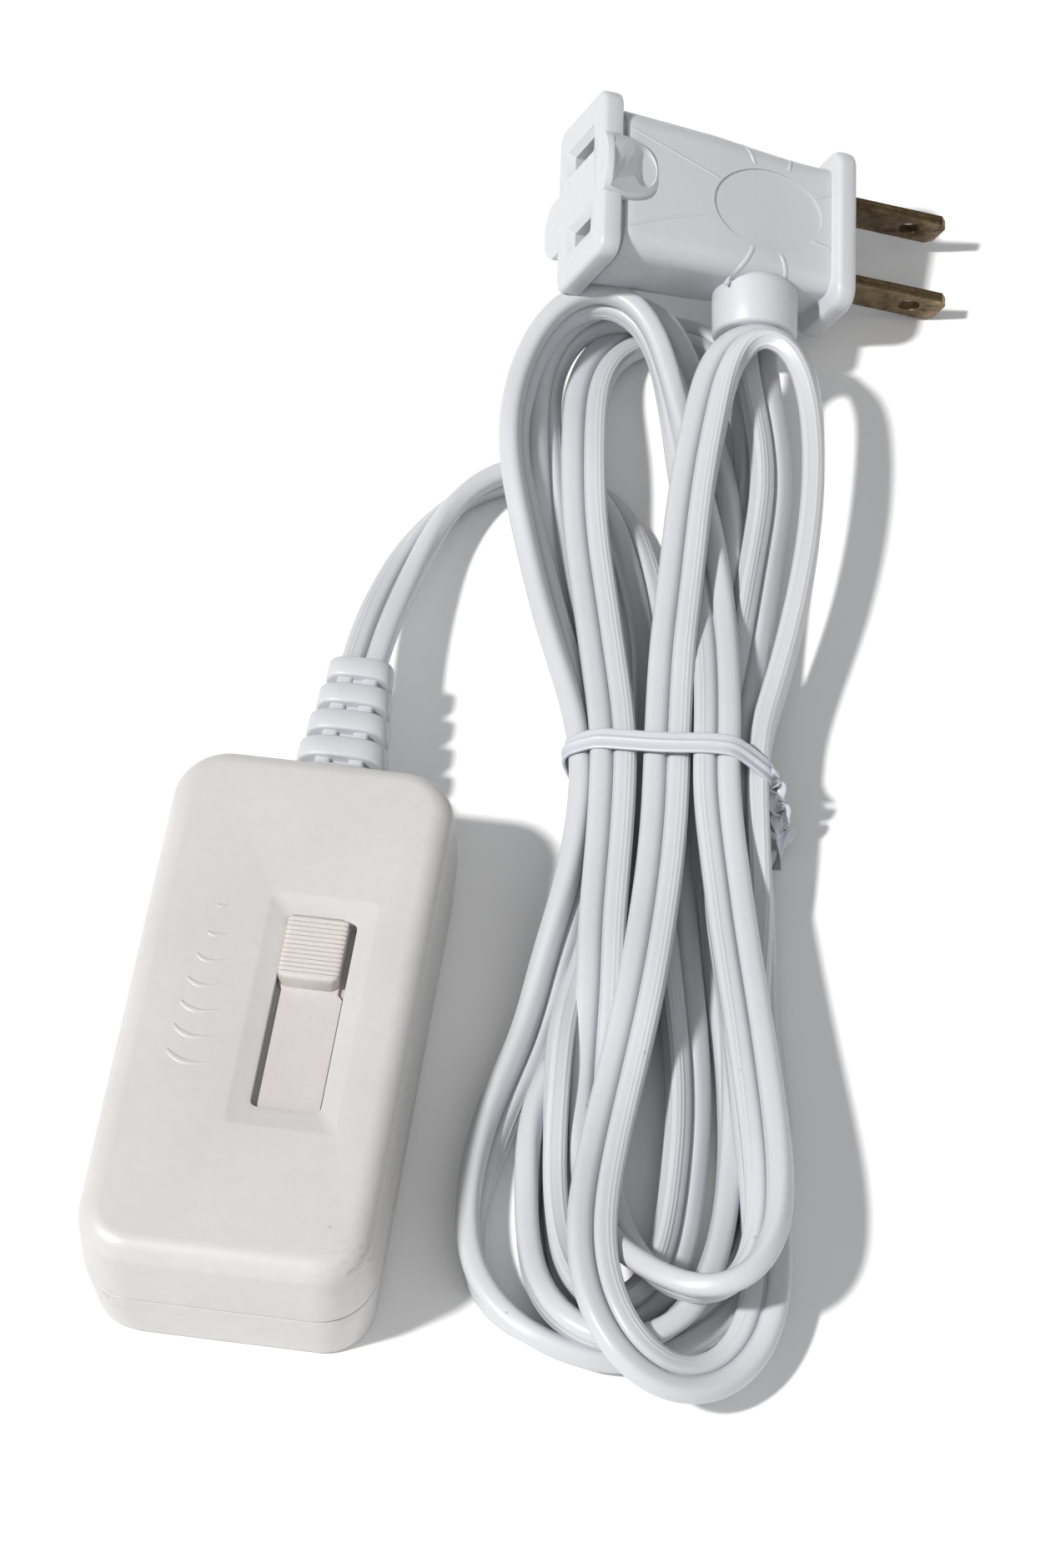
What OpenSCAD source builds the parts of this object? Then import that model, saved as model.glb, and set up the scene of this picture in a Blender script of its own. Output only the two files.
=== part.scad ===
// Plug-in lamp dimmer on a flat two-core cord: slide dimmer housing, strain
// relief, folded hank of cord held by a twist tie, and a stackable two-blade plug.
// Millimetres, +Z up. Origin: centre of the dimmer's footprint, on the table.
// +Y runs along the housing towards its strain relief.

/* [Dimmer housing] */
// Width of the housing at the parting line
body_w = 38.5; // [37.5:0.5:40]
// Length of the housing at the parting line
body_l = 79; // [78:0.5:81]
// Height of the closed housing
body_h = 22.5; // [22.5:0.5:24]
// Height of the parting line between base and top cover
seam_z = 10.6; // [10:0.2:11.2]
// Radius of the upright corners
corner_r = 7.6; // [6.5:0.1:9]
// Radius of the top edge
edge_r = 3.1; // [2:0.1:3.4]
// Wall thickness of both shells
wall = 2; // [1.8:0.1:2.2]

/* [Slide control] */
// Width of the slot in the top cover
slot_w = 9.2; // [9:0.1:9.6]
// Length of the slot in the top cover
slot_l = 29; // [28.6:0.1:29.4]
// Length of the knob along the slot
knob_l = 10; // [9:0.5:10]
// Width of the knob
knob_w = 8; // [7.6:0.1:8.2]
// Number of grip ribs on the knob
knob_ribs = 11; // [7:1:13]

/* [Cord] */
// Width of the flat cord across both cores
cord_w = 6.6; // [6:0.1:7]
// Diameter of the plain tube that stands for the cord
cord_tube_d = 4.7; // [4:0.1:5]
// Number of grip rings on the strain relief
relief_rings = 5; // [4:1:5]

/* [Plug] */
// Distance between the blade centres
blade_pitch = 12.7; // [12.7:0.1:12.8]
// Width of each blade
blade_w = 6.35; // [6.3:0.05:6.4]
// Thickness of each blade
blade_t = 1.5; // [1.4:0.05:1.6]
// Length of each blade in front of the plug face
blade_l = 17; // [16:0.5:18]
// Diameter of the hole in each blade
blade_hole_d = 3.2; // [3:0.1:4]
// Length of the plug body from blade face to receptacle face
plug_l = 41; // [41:0.5:43]

/* [Hidden] */

slot_x = 4.7;                       // slot centre, right of the middle
slot_y = -0.9;
ceil_z = body_h - 1.7;              // inside of the top wall
shut_z = ceil_z - 0.2;              // top of the sliding shutter
shut_t = 1.2;
knob_y = slot_y + slot_l/2 - knob_l/2 - 0.4;   // knob centre, switched off
knob_top = shut_z + 2.3;
knob_x = slot_x - 0.4;
travel = slot_l - knob_l - 0.8;     // slot less knob less both end gaps
relief_x = 1.1;
relief_end = body_l/2 + 22.6;
screw_pos = [for (sx = [-1, 1]) for (sy = [-1, 1]) [sx*13.6, sy*32.6]];
board_z = 7;
board_t = 1.6;
pot_y = knob_y - travel/2;          // the control sits under mid-travel
pot_top = board_z + board_t + 7;

plug_at = [57.6, 147.2, 11];        // centre of the blade face
plug_turn = [15, 23, 12.5];
collar_x = -13;
collar_d = 12.6;
collar_y = -16.8;

// Route of the lead between strain relief and hank
lead_route = [[1.1, 62.1, 10.6], [1.2, 66, 10], [1.5, 71, 9], [2.5, 78, 7.5],
  [3.5, 84, 6], [4.8, 90, 4.8], [7, 96, 4], [10, 101, 3.6], [14.5, 104.6, 3.4],
  [20, 105.6, 3.4]];
// Route of the short stretch between hank and plug collar
end_route = [[48.6, 119.8, 10.1], [48.2, 124.4, 11.1], [47.74, 128.42, 12.05]];

white = [0.93, 0.92, 0.90];
pvc = [0.88, 0.89, 0.90];

// Outline of a rounded rectangle, anticlockwise
function rr(w, l, r, n = 8) = [for (q = [0:3]) for (i = [0:n])
  let (a = 90*q + 90*i/n, sx = (q == 0 || q == 3) ? 1 : -1, sy = q < 2 ? 1 : -1)
  [sx*(w/2 - r) + r*cos(a), sy*(l/2 - r) + r*sin(a)]];
// Outline of a rectangle with cut corners
function cut(w, l, c) = [[w/2, -l/2 + c], [w/2, l/2 - c], [w/2 - c, l/2], [-w/2 + c, l/2],
  [-w/2, l/2 - c], [-w/2, -l/2 + c], [-w/2 + c, -l/2], [w/2 - c, -l/2]];
function oval(rx, ry, n = 40) = [for (i = [0:n - 1]) [rx*cos(360*i/n), ry*sin(360*i/n)]];

module slice(w, l, r, z) translate([0, 0, z]) linear_extrude(0.01) polygon(rr(w, l, r));

// Solid outer form below and above the parting line
module base_form(inset = 0, floor_z = 0) hull() {
  slice(body_w - 3.4 - 2*inset, body_l - 3.4 - 2*inset, corner_r - 1.4 - inset*0.6, floor_z);
  slice(body_w - 1.9 - 2*inset, body_l - 1.9 - 2*inset, corner_r - 0.8 - inset*0.6, floor_z + 0.8);
  slice(body_w - 2*inset, body_l - 2*inset, corner_r - inset, seam_z - 0.01);
}
module top_form(inset = 0, top_z = 0, r = 0) hull() {
  slice(body_w - 2*inset, body_l - 2*inset, corner_r - inset, seam_z);
  for (a = [0:15:90])
    slice(body_w - 0.5 - 2*inset - 2*r*(1 - cos(a)), body_l - 0.5 - 2*inset - 2*r*(1 - cos(a)),
      max(corner_r - inset - r*(1 - cos(a)), 1.5), top_z - r + r*sin(a) - 0.01);
}

module base_cover() color(white) difference() {
  union() {
    difference() {
      base_form();
      base_form(wall, wall);
      // mouth of the inside, straight up to the parting line
      translate([0, 0, seam_z - 1]) linear_extrude(2)
        polygon(rr(body_w - 2*wall, body_l - 2*wall, corner_r - wall));
    }
    for (p = screw_pos) translate([p[0], p[1], 1]) cylinder(d = 6.4, h = seam_z - 1.1, $fn = 32);
    // board rests
    for (sx = [-1, 1]) for (sy = [-1, 1]) translate([sx*13.8, sy*24, 1]) {
      cylinder(d = 4, h = board_z - 1, $fn = 24);
      cylinder(d = 2, h = board_z + 0.4, $fn = 24);
    }
    // cradle behind the strain relief
    translate([relief_x - 6, body_l/2 - 6.6, 1.5]) cube([12, 1.4, seam_z - 1.6]);
  }
  for (p = screw_pos) translate([p[0], p[1], -1]) {
    cylinder(d = 2.6, h = 14, $fn = 32);
    cylinder(d = 5, h = 5, $fn = 32);
  }
  translate([relief_x, body_l/2 + 1, seam_z]) rotate([90, 0, 0]) cylinder(d = 7.8, h = 9, $fn = 48);
}

module top_cover() color(white) difference() {
  union() {
    difference() {
      top_form(0, body_h, edge_r);
      top_form(wall, ceil_z, 1.4);
      translate([0, 0, seam_z - 1]) linear_extrude(1.2)
        polygon(rr(body_w - 2*wall, body_l - 2*wall, corner_r - wall));
    }
    for (p = screw_pos) translate([p[0], p[1], seam_z + 0.05])
      cylinder(d = 6, h = ceil_z - seam_z + 0.4, $fn = 32);
    // raised arcs that grow towards full brightness
    for (i = [0:6]) translate([-8.8, 14.2 - 4.05*i, body_h - 0.4])
      linear_extrude(0.65) intersection() {
        difference() { circle(r = 1.1 + 0.55*i, $fn = 48); circle(r = 0.5 + 0.55*i, $fn = 48); }
        polygon([[0, 0.4], [-5 - i, -2.5], [-5 - i, -9], [5 + i, -9], [5 + i, -2.5]]);
      }
  }
  // sloping frame around the slot
  hull() {
    translate([slot_x - 0.15, slot_y, body_h + 0.1]) linear_extrude(0.01) square([14.2, 35.2], center = true);
    translate([slot_x, slot_y, ceil_z + 0.6]) linear_extrude(0.01) square([slot_w, slot_l], center = true);
  }
  translate([slot_x, slot_y, ceil_z - 1]) linear_extrude(3) polygon(rr(slot_w, slot_l, 0.8, 4));
  for (p = screw_pos) translate([p[0], p[1], seam_z - 1]) cylinder(d = 2.06, h = 8, $fn = 32);
  translate([relief_x, body_l/2 + 1, seam_z]) rotate([90, 0, 0]) cylinder(d = 7.8, h = 5, $fn = 48);
}

// Four tapping screws, driven from below
module case_screws() color([0.62, 0.63, 0.65]) for (p = screw_pos) translate([p[0], p[1], 2.4]) difference() {
  union() {
    cylinder(d = 4.4, h = 1.6, $fn = 32);
    cylinder(d = 2, h = 13, $fn = 32);
  }
  for (t = [0, 90]) rotate([0, 0, t]) translate([-1.3, -0.3, -0.5]) cube([2.6, 0.6, 1.3]);
}

module slider_knob() color([0.94, 0.91, 0.89]) difference() {
  union() {
    translate([knob_x - knob_w/2, knob_y - knob_l/2, shut_z]) intersection() {
      linear_extrude(knob_top - shut_z) polygon([for (p = cut(knob_w, knob_l, 1)) p + [knob_w/2, knob_l/2]]);
      translate([knob_w/2, knob_l/2, 0]) rotate([90, 0, 90]) linear_extrude(knob_w, center = true)
        polygon([[-knob_l/2, 0], [knob_l/2, 0], [knob_l/2, knob_top - shut_z - 0.5],
          [knob_l/2 - 0.5, knob_top - shut_z - 0.05], [-knob_l/2 + 0.5, knob_top - shut_z - 0.05],
          [-knob_l/2, knob_top - shut_z - 0.5]]);
    }
    // grip ribs across the knob
    for (i = [0:knob_ribs - 1])
      translate([knob_x - knob_w/2 + 0.9, knob_y - knob_l/2 + 0.95 + i*(knob_l - 2.4)/(knob_ribs - 1), knob_top - 0.1])
        cube([knob_w - 1.8, 0.5, 0.3]);
  }
  // socket for the lever
  translate([slot_x - 1.9, knob_y - 0.75, shut_z - 1]) cube([3.8, 1.5, 2.2]);
}

module slider_shutter() color([0.94, 0.90, 0.89]) difference() {
  translate([slot_x + 0.9, knob_y, shut_z - shut_t]) linear_extrude(shut_t) polygon(rr(9.2, 49, 1, 4));
  // open notch beside the knob
  translate([knob_x + knob_w/2, knob_y - knob_l/2 - 0.2, shut_z - 2]) cube([3, knob_l + 0.4, 3]);
  translate([slot_x - 2.1, knob_y - 0.95, shut_z - 2]) cube([4.2, 1.9, 3]);
}

// Carriage and lever of the sliding resistor
module wiper_carriage() color([0.25, 0.24, 0.24]) union() {
  translate([slot_x - 3.2, knob_y - 2.6, pot_top - 4.3]) cube([6.4, 5.2, 3.2]);
  translate([slot_x - 1.8, knob_y - 0.65, pot_top - 1.2]) cube([3.6, 1.3, shut_z + 1 - pot_top + 1.2]);
}
module wiper_contact() color([0.80, 0.62, 0.30]) for (sx = [-1, 1]) translate([slot_x + sx*1.7 - 0.6, knob_y, 0]) {
  translate([0, -2.4, pot_top - 4.6]) cube([1.2, 4.8, 0.3]);
  translate([0, 1.9, pot_top - 5.2]) cube([1.2, 0.5, 0.7]);
}

// Folded steel can, open below, slotted on top for the lever
module pot_frame() color([0.72, 0.73, 0.74]) difference() {
  translate([slot_x - 4.6, pot_y - 19, board_z + board_t]) cube([9.2, 38, 7]);
  translate([slot_x - 4.1, pot_y - 18.5, board_z + board_t - 1]) cube([8.2, 37, 7.5]);
  translate([slot_x - 2.4, pot_y - 13, pot_top - 2]) cube([4.8, 26, 4]);
}
module pot_track() color([0.45, 0.28, 0.16]) union() {
  translate([slot_x - 4, pot_y - 18.4, board_z + board_t]) cube([8, 36.8, 1.6]);
  for (sx = [-1, 1]) translate([slot_x + sx*1.7 - 0.7, pot_y - 16, board_z + board_t + 1.6]) cube([1.4, 32, 0.12]);
}

module circuit_board() color([0.62, 0.50, 0.27]) difference() {
  translate([0, 0, board_z]) linear_extrude(board_t) polygon(rr(32, 54, 1, 3));
  for (sx = [-1, 1]) for (sy = [-1, 1]) translate([sx*13.8, sy*24, board_z - 1]) cylinder(d = 2.2, h = 4, $fn = 24);
}

module triac() color([0.13, 0.13, 0.14]) translate([-13.2, -17, board_z + board_t]) {
  difference() {
    union() {
      translate([0, -5, 1.2]) cube([4.4, 10, 6.4]);
      translate([0, -5, 7.5]) cube([1.3, 10, 3.9]);
    }
    translate([-1, 0, 9.3]) rotate([0, 90, 0]) cylinder(d = 3.1, h = 4, $fn = 32);
  }
  for (i = [-1, 0, 1]) translate([2.2, i*2.54 - 0.35, 0]) cube([0.5, 0.7, 1.4]);
}
module heat_sink() color([0.78, 0.79, 0.80]) difference() {
  union() {
    translate([-14.8, -25, board_z + board_t]) cube([1.6, 18, 11.4]);
    translate([-14.8, -7.1, board_z + board_t]) cube([4.6, 1.6, 11.4]);
  }
  translate([-16, -17, board_z + board_t + 9.3]) rotate([0, 90, 0]) cylinder(d = 3.1, h = 4, $fn = 32);
}
module triac_rivet() color([0.70, 0.71, 0.72]) translate([0, -17, board_z + board_t + 9.3]) rotate([0, 90, 0]) {
  translate([0, 0, -15.6]) cylinder(d = 4.4, h = 0.8, $fn = 32);
  translate([0, 0, -15]) cylinder(d = 3, h = 3.6, $fn = 32);
  translate([0, 0, -11.9]) cylinder(d = 3.3, h = 0.7, $fn = 32);
}

// Interference-suppression choke: ring core and its winding
module choke_core() color([0.55, 0.56, 0.30]) translate([-8.4, 14, board_z + board_t + 1.4])
  rotate_extrude($fn = 64) translate([4, 0]) square([3, 5.4]);
module choke_winding() color([0.72, 0.38, 0.16]) translate([-8.4, 14, board_z + board_t + 4.1])
  for (i = [0:15]) rotate([0, 0, 22.5*i]) difference() {
    translate([2.9, -0.45, -3.7]) cube([5.2, 0.9, 7.4]);
    translate([3.9, -1, -2.8]) cube([3.2, 2, 5.6]);
  }

module film_capacitor() color([0.75, 0.58, 0.20]) translate([-4.2, -1.6, board_z + board_t]) {
  translate([-2.6, -6, 0.4]) cube([5.2, 11.4, 9.2]);
  for (s = [-5, 4.4]) translate([-0.3, s - 0.3, 0]) cube([0.6, 0.6, 1]);
}
module resistors() color([0.80, 0.70, 0.52]) for (i = [0:2]) translate([-6.2, -12 - 3.4*i, board_z + board_t + 1.3]) rotate([0, 90, 0]) {
  cylinder(d = 2.3, h = 4.4, $fn = 32);
  translate([0, 0, -0.8]) cylinder(d = 0.6, h = 6, $fn = 16);
  for (z = [-0.7, 5.1]) rotate([0, 90, 0]) translate([0, 0, 0]) translate([-z, 0, 0]) cylinder(d = 0.6, h = 1.3, $fn = 16);
}
module diac() color([0.20, 0.25, 0.55]) translate([-5.8, -22.4, board_z + board_t + 1.2]) rotate([0, 90, 0]) {
  cylinder(d = 1.9, h = 3.6, $fn = 32);
  translate([0, 0, -0.8]) cylinder(d = 0.5, h = 5.2, $fn = 16);
  for (z = [-0.6, 4.2]) rotate([0, 90, 0]) translate([-z, 0, 0]) cylinder(d = 0.5, h = 1.2, $fn = 16);
}
module fuse() color([0.55, 0.68, 0.55]) translate([-10.6, -3.8, board_z + board_t + 1.6]) rotate([-90, 0, 0]) {
  cylinder(d = 2.6, h = 7, $fn = 32);
  translate([0, 0, -0.8]) cylinder(d = 0.6, h = 8.6, $fn = 16);
  for (z = [-0.5, 7.5]) translate([0, 0, z]) rotate([-90, 0, 0]) cylinder(d = 0.6, h = 1.6, $fn = 16);
}

// Two insulated leads from the cord to the board
module lead_wires() color([0.90, 0.90, 0.88]) for (s = [-1, 1]) translate([relief_x + s*1.65, 25.6, seam_z]) {
  rotate([-90, 0, 0]) cylinder(d = 1.9, h = body_l/2 - wall - 2.2 - 25.6, $fn = 24);
  translate([0, 0.4, board_z + board_t - seam_z]) cylinder(d = 1.5, h = seam_z - board_z - board_t, $fn = 24);
}

// Ring of the strain relief: width, height, thickness
module oval_ring(w, h, t) rotate([90, 0, 0]) linear_extrude(t, center = true) polygon(oval(w/2, h/2));
module strain_relief() color(pvc) translate([relief_x, 0, seam_z]) union() {
  // flange held behind the wall
  translate([0, body_l/2 - wall - 0.8, 0]) rotate([90, 0, 0]) cylinder(d = 9.4, h = 1.4, $fn = 48);
  translate([0, body_l/2 + 0.6, 0]) rotate([90, 0, 0]) cylinder(d = 7.6, h = 3.8, $fn = 48);
  // tapered core
  translate([0, body_l/2 + 0.3, 0]) rotate([-90, 0, 0]) cylinder(d1 = 8.2, d2 = 6.7, h = 22.3, $fn = 48);
  for (i = [0:relief_rings - 1]) let (k = i/(relief_rings - 1))
    translate([0, body_l/2 + 1.9 + 19.1*k, 0]) oval_ring(13.6 - 4.4*k, 9.6 - 3*k, 2.9);
  for (s = [-1, 1]) translate([s*2.1 - 0.5, body_l/2 + 1, -3.6]) cube([1, 20, 7.2]);
}

// Tube swept along a route: smooth curve through hand-placed points
function at(p, i) = p[max(0, min(len(p) - 1, i))];
function cr(a, b, c, d, t) = 0.5*((2*b) + (c - a)*t + (2*a - 5*b + 4*c - d)*t*t + (3*b - a - 3*c + d)*t*t*t);
function curve(p, k) = [for (i = [0:len(p) - 2]) for (j = [0:k - 1]) cr(at(p, i - 1), p[i], p[i + 1], at(p, i + 2), j/k), p[len(p) - 1]];
function unit(v) = v/norm(v);
function ringpts(c, d, r, n) = let (u = unit(cross(d, [0, 0, 1])), v = cross(u, d))
  [for (i = [0:n - 1]) c + r*(cos(360*i/n)*u + sin(360*i/n)*v)];
module sweep(path, r, n = 10) {
  m = len(path);
  pts = [for (i = [0:m - 1]) each ringpts(path[i], unit(at(path, i + 1) - at(path, i - 1)), r, n)];
  sides = [for (i = [0:m - 2]) for (j = [0:n - 1]) let (a = i*n + j, b = i*n + (j + 1)%n) each [[a, b, b + n], [a, b + n, a + n]]];
  polyhedron(pts, concat([[for (j = [n - 1:-1:0]) j]], sides, [[for (j = [0:n - 1]) (m - 1)*n + j]]), convexity = 4);
}
module cord_lead() color(pvc) sweep(curve(lead_route, 2), cord_tube_d/2);
module cord_end() color(pvc) sweep(end_route, cord_tube_d/2);

// Outer shape of the folded hank: two pairs of loops meeting at a waist
waist = [45.5, 53];
module disc(p, r) translate(p) circle(r = r, $fn = 32);
module cord_hank() color(pvc) difference() {
  union() {
    linear_extrude(9) {
      hull() { disc(waist, 11.8); disc([42, -18], 17.4); }
      hull() { disc(waist, 11.8); disc([57, -27], 16); }
      hull() { disc(waist, 11.8); disc([27.4, 118.4], 14.6); }
    }
    // the strands lie highest through the tie and over the right-hand loops
    linear_extrude(13.2) {
      hull() { disc(waist, 11.8); disc([58, -18], 13); }
      hull() { disc(waist, 11.8); disc([26, 108], 10); }
    }
    linear_extrude(15.6) hull() { disc([46, 74], 10); disc([49, 108.8], 12.3); }
  }
  // groove for the twist tie
  translate([20, waist[1] - 1.7, -1]) difference() {
    cube([60, 3.4, 20]);
    translate([25.5 - 11.4, -1, 2]) cube([22.8, 6, 11.4]);
  }
}

module twist_tie() color([0.90, 0.91, 0.93]) translate([waist[0], waist[1], 0]) {
  rotate([90, 0, 0]) linear_extrude(2.6, center = true) translate([0, 6.9]) difference() {
    polygon(rr(25.2, 13.4, 3.2, 6));
    polygon(rr(23.2, 11.8, 0.6, 6));
  }
  // twisted pair and its two ends
  hull() { translate([12.8, -1, 10]) sphere(d = 2.8, $fn = 20); translate([15.8, -6.5, 9]) sphere(d = 2.8, $fn = 20); }
  hull() { translate([15.8, -6.5, 9]) sphere(d = 2, $fn = 20); translate([14.4, -11, 6.4]) sphere(d = 1.6, $fn = 20); }
}

// Plug pieces are drawn along +X, blades forward, then laid on the table
module lay() translate(plug_at) rotate(plug_turn) children();
module plate(w, h, r, x, t) translate([x, 0, 0]) rotate([90, 0, 90]) linear_extrude(t) polygon(rr(w, h, r, 6));

module plug_body() color(pvc) lay() difference() {
  union() {
    plate(25.6, 14.8, 3, -3, 3);
    hull() {
      plate(20.6, 11.2, 2.6, -3, 0.1);
      plate(22.4, 14, 3.4, -22, 0.1);
      plate(23.6, 15, 3, -plug_l + 3, 0.1);
    }
    translate([-plug_l, 0, 0]) rotate([90, 0, 90]) linear_extrude(3.3) polygon(cut(26.5, 17.2, 2.4));
    // finger grips above and below the receptacle face
    for (s = [0, 180]) rotate([s, 0, 0]) hull() {
      translate([-plug_l, 0, 8]) rotate([90, 0, 90]) linear_extrude(0.6)
        polygon([[-5, -1], [5, -1], [4.6, 1.4], [3, 3.6], [1.2, 4.5], [-1.2, 4.5], [-3, 3.6], [-4.6, 1.4]]);
      translate([-plug_l + 3, 0, 8]) rotate([90, 0, 90]) linear_extrude(0.1)
        polygon([[-4.4, -1], [4.4, -1], [3.6, 1.4], [2, 2.9], [-2, 2.9], [-3.6, 1.4]]);
      translate([-plug_l + 8.6, 0, 7]) sphere(d = 1, $fn = 16);
    }
    // oval medallion on both broad sides
    for (s = [0, 180]) rotate([s, 0, 0]) translate([-14.5, 0, 0]) rotate([0, 2.9, 0])
      linear_extrude(7) polygon(oval(8.2, 6.5));
    // cord collar
    translate([collar_x, -8, 0]) rotate([90, 0, 0]) cylinder(d = collar_d, h = -collar_y - 8, $fn = 64);
  }
  // room for the insert
  translate([-34, -8.8, -4.6]) cube([22, 17.6, 9.2]);
  // receptacle slots with lead-in
  for (s = [-1, 1]) translate([0, s*blade_pitch/2, 0]) let (h = s > 0 ? 8.2 : 7) {
    translate([-plug_l - 1, -1.2, -h/2]) cube([9, 2.4, h]);
    hull() {
      translate([-plug_l - 0.01, -2, -h/2 - 0.8]) cube([0.01, 4, h + 1.6]);
      translate([-plug_l + 0.9, -1.2, -h/2]) cube([0.01, 2.4, h]);
    }
    translate([-13, -blade_t/2 - 0.02, -blade_w/2 - 0.02]) cube([15, blade_t + 0.04, blade_w + 0.04]);
  }
  // wire ways through the collar
  for (s = [-1, 1]) translate([collar_x + s*1.65, collar_y - 1, 0]) rotate([-90, 0, 0])
    cylinder(d = 2.1, h = s > 0 ? 23.5 : 10.8, $fn = 24);
}

// Hard inner block that holds the metal parts
module plug_insert() color([0.80, 0.80, 0.78]) lay() difference() {
  translate([-33.9, -8.7, -4.5]) cube([21.8, 17.4, 9]);
  for (s = [-1, 1]) translate([0, s*blade_pitch/2, 0]) {
    translate([-35, -1.5, -3]) cube([19.1, 3, 6]);
    translate([-35, -1.5, -4.1]) cube([4, 3, 8.2]);
    translate([-17, -blade_t/2 - 0.02, -blade_w/2 - 0.02]) cube([9, blade_t + 0.04, blade_w + 0.04]);
  }
  // wire room between the blades
  translate([-17.2, -9, -2]) cube([9, 14.6, 4]);
}

module blade() rotate([90, 0, 0]) translate([0, 0, -blade_t/2]) difference() {
  linear_extrude(blade_t) polygon([[-16, -blade_w/2], [blade_l - 1, -blade_w/2], [blade_l, -blade_w/2 + 0.9],
    [blade_l, blade_w/2 - 0.9], [blade_l - 1, blade_w/2], [-16, blade_w/2]]);
  translate([11.9, 0, -1]) cylinder(d = blade_hole_d, h = 4, $fn = 48);
}
module blade_near() color([0.45, 0.38, 0.28]) lay() difference() {
  translate([0, -blade_pitch/2, 0]) blade();
  // window that lets the far blade's wire pass
  translate([collar_x + 1.65, -10, 0]) rotate([-90, 0, 0]) cylinder(d = 2.6, h = 8, $fn = 32);
}
module blade_far() color([0.45, 0.38, 0.28]) lay() translate([0, blade_pitch/2, 0]) blade();

// Folded spring contact behind each receptacle slot
module contact() difference() {
  translate([-33, -1.4, -2.8]) cube([17, 2.8, 5.6]);
  translate([-34, -0.9, -4]) cube([17.4, 1.8, 8]);
}
module contact_near() color([0.80, 0.65, 0.35]) lay() translate([0, -blade_pitch/2, 0]) contact();
module contact_far() color([0.80, 0.65, 0.35]) lay() translate([0, blade_pitch/2, 0]) contact();

// Two cord conductors inside the collar, ending at the blades
module plug_wires() color([0.90, 0.90, 0.88]) lay() for (s = [-1, 1]) {
  translate([collar_x + s*1.65, collar_y + 0.1, 0]) rotate([-90, 0, 0]) cylinder(d = 1.9, h = (s > 0 ? 1 : -1)*blade_pitch/2 - blade_t/2 - collar_y - 0.1, $fn = 24);
}

base_cover();
top_cover();
case_screws();
slider_knob();
slider_shutter();
wiper_carriage();
wiper_contact();
pot_frame();
pot_track();
circuit_board();
triac();
heat_sink();
triac_rivet();
choke_core();
choke_winding();
film_capacitor();
resistors();
diac();
fuse();
lead_wires();
strain_relief();
cord_lead();
cord_hank();
cord_end();
twist_tie();
plug_body();
plug_insert();
blade_near();
blade_far();
contact_near();
contact_far();
plug_wires();
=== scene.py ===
import math

import bmesh
import bpy
import numpy as np
from mathutils import Matrix, Vector


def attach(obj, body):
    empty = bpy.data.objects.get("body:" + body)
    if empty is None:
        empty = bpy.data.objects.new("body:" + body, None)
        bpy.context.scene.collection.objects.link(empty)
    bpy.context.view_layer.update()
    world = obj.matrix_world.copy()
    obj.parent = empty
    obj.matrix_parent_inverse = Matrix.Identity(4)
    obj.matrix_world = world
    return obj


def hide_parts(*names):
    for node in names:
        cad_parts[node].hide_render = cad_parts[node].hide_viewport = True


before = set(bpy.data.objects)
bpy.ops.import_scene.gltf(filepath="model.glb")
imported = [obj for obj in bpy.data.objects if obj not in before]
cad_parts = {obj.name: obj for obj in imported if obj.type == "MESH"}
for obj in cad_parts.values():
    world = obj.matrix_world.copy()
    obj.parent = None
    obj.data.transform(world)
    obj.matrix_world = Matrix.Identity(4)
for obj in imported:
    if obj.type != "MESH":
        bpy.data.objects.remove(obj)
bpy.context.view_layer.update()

scene = bpy.context.scene
MM = 0.001


def V(*p):
    return Vector(p) * MM


# ---------------------------------------------------------------- camera
RIGHT = Vector((0.98867, 0.1488, -0.01995))
UP = Vector((-0.11157, 0.81713, 0.56556))
AHEAD = Vector((-0.10045, 0.55692, -0.82447))
cam_data = bpy.data.cameras.new("view")
cam_data.sensor_fit = "HORIZONTAL"
cam_data.sensor_width = 36
cam_data.lens = 165.83
cam_data.clip_start = 0.02
cam_data.clip_end = 20
cam = bpy.data.objects.new("view", cam_data)
scene.collection.objects.link(cam)
turn = Matrix((RIGHT, UP, -AHEAD)).transposed().to_4x4()
cam.matrix_world = Matrix.Translation(V(92.06, -320.01, 552.66)) @ turn
scene.camera = cam


# ---------------------------------------------------------------- materials
def mat_new(name):
    m = bpy.data.materials.new(name)
    m.use_nodes = True
    nt = m.node_tree
    nt.nodes.clear()
    out = nt.nodes.new("ShaderNodeOutputMaterial")
    b = nt.nodes.new("ShaderNodeBsdfPrincipled")
    nt.links.new(b.outputs[0], out.inputs[0])
    return m, nt, b


def coords(nt, scale=(1, 1, 1)):
    tc = nt.nodes.new("ShaderNodeTexCoord")
    mp = nt.nodes.new("ShaderNodeMapping")
    mp.inputs["Scale"].default_value = scale
    nt.links.new(tc.outputs["Object"], mp.inputs["Vector"])
    return mp.outputs[0]


def noise(nt, vec, scale, detail=4, rough=0.55):
    n = nt.nodes.new("ShaderNodeTexNoise")
    n.inputs["Scale"].default_value = scale
    n.inputs["Detail"].default_value = detail
    n.inputs["Roughness"].default_value = rough
    nt.links.new(vec, n.inputs["Vector"])
    return n.outputs["Fac"]


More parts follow.
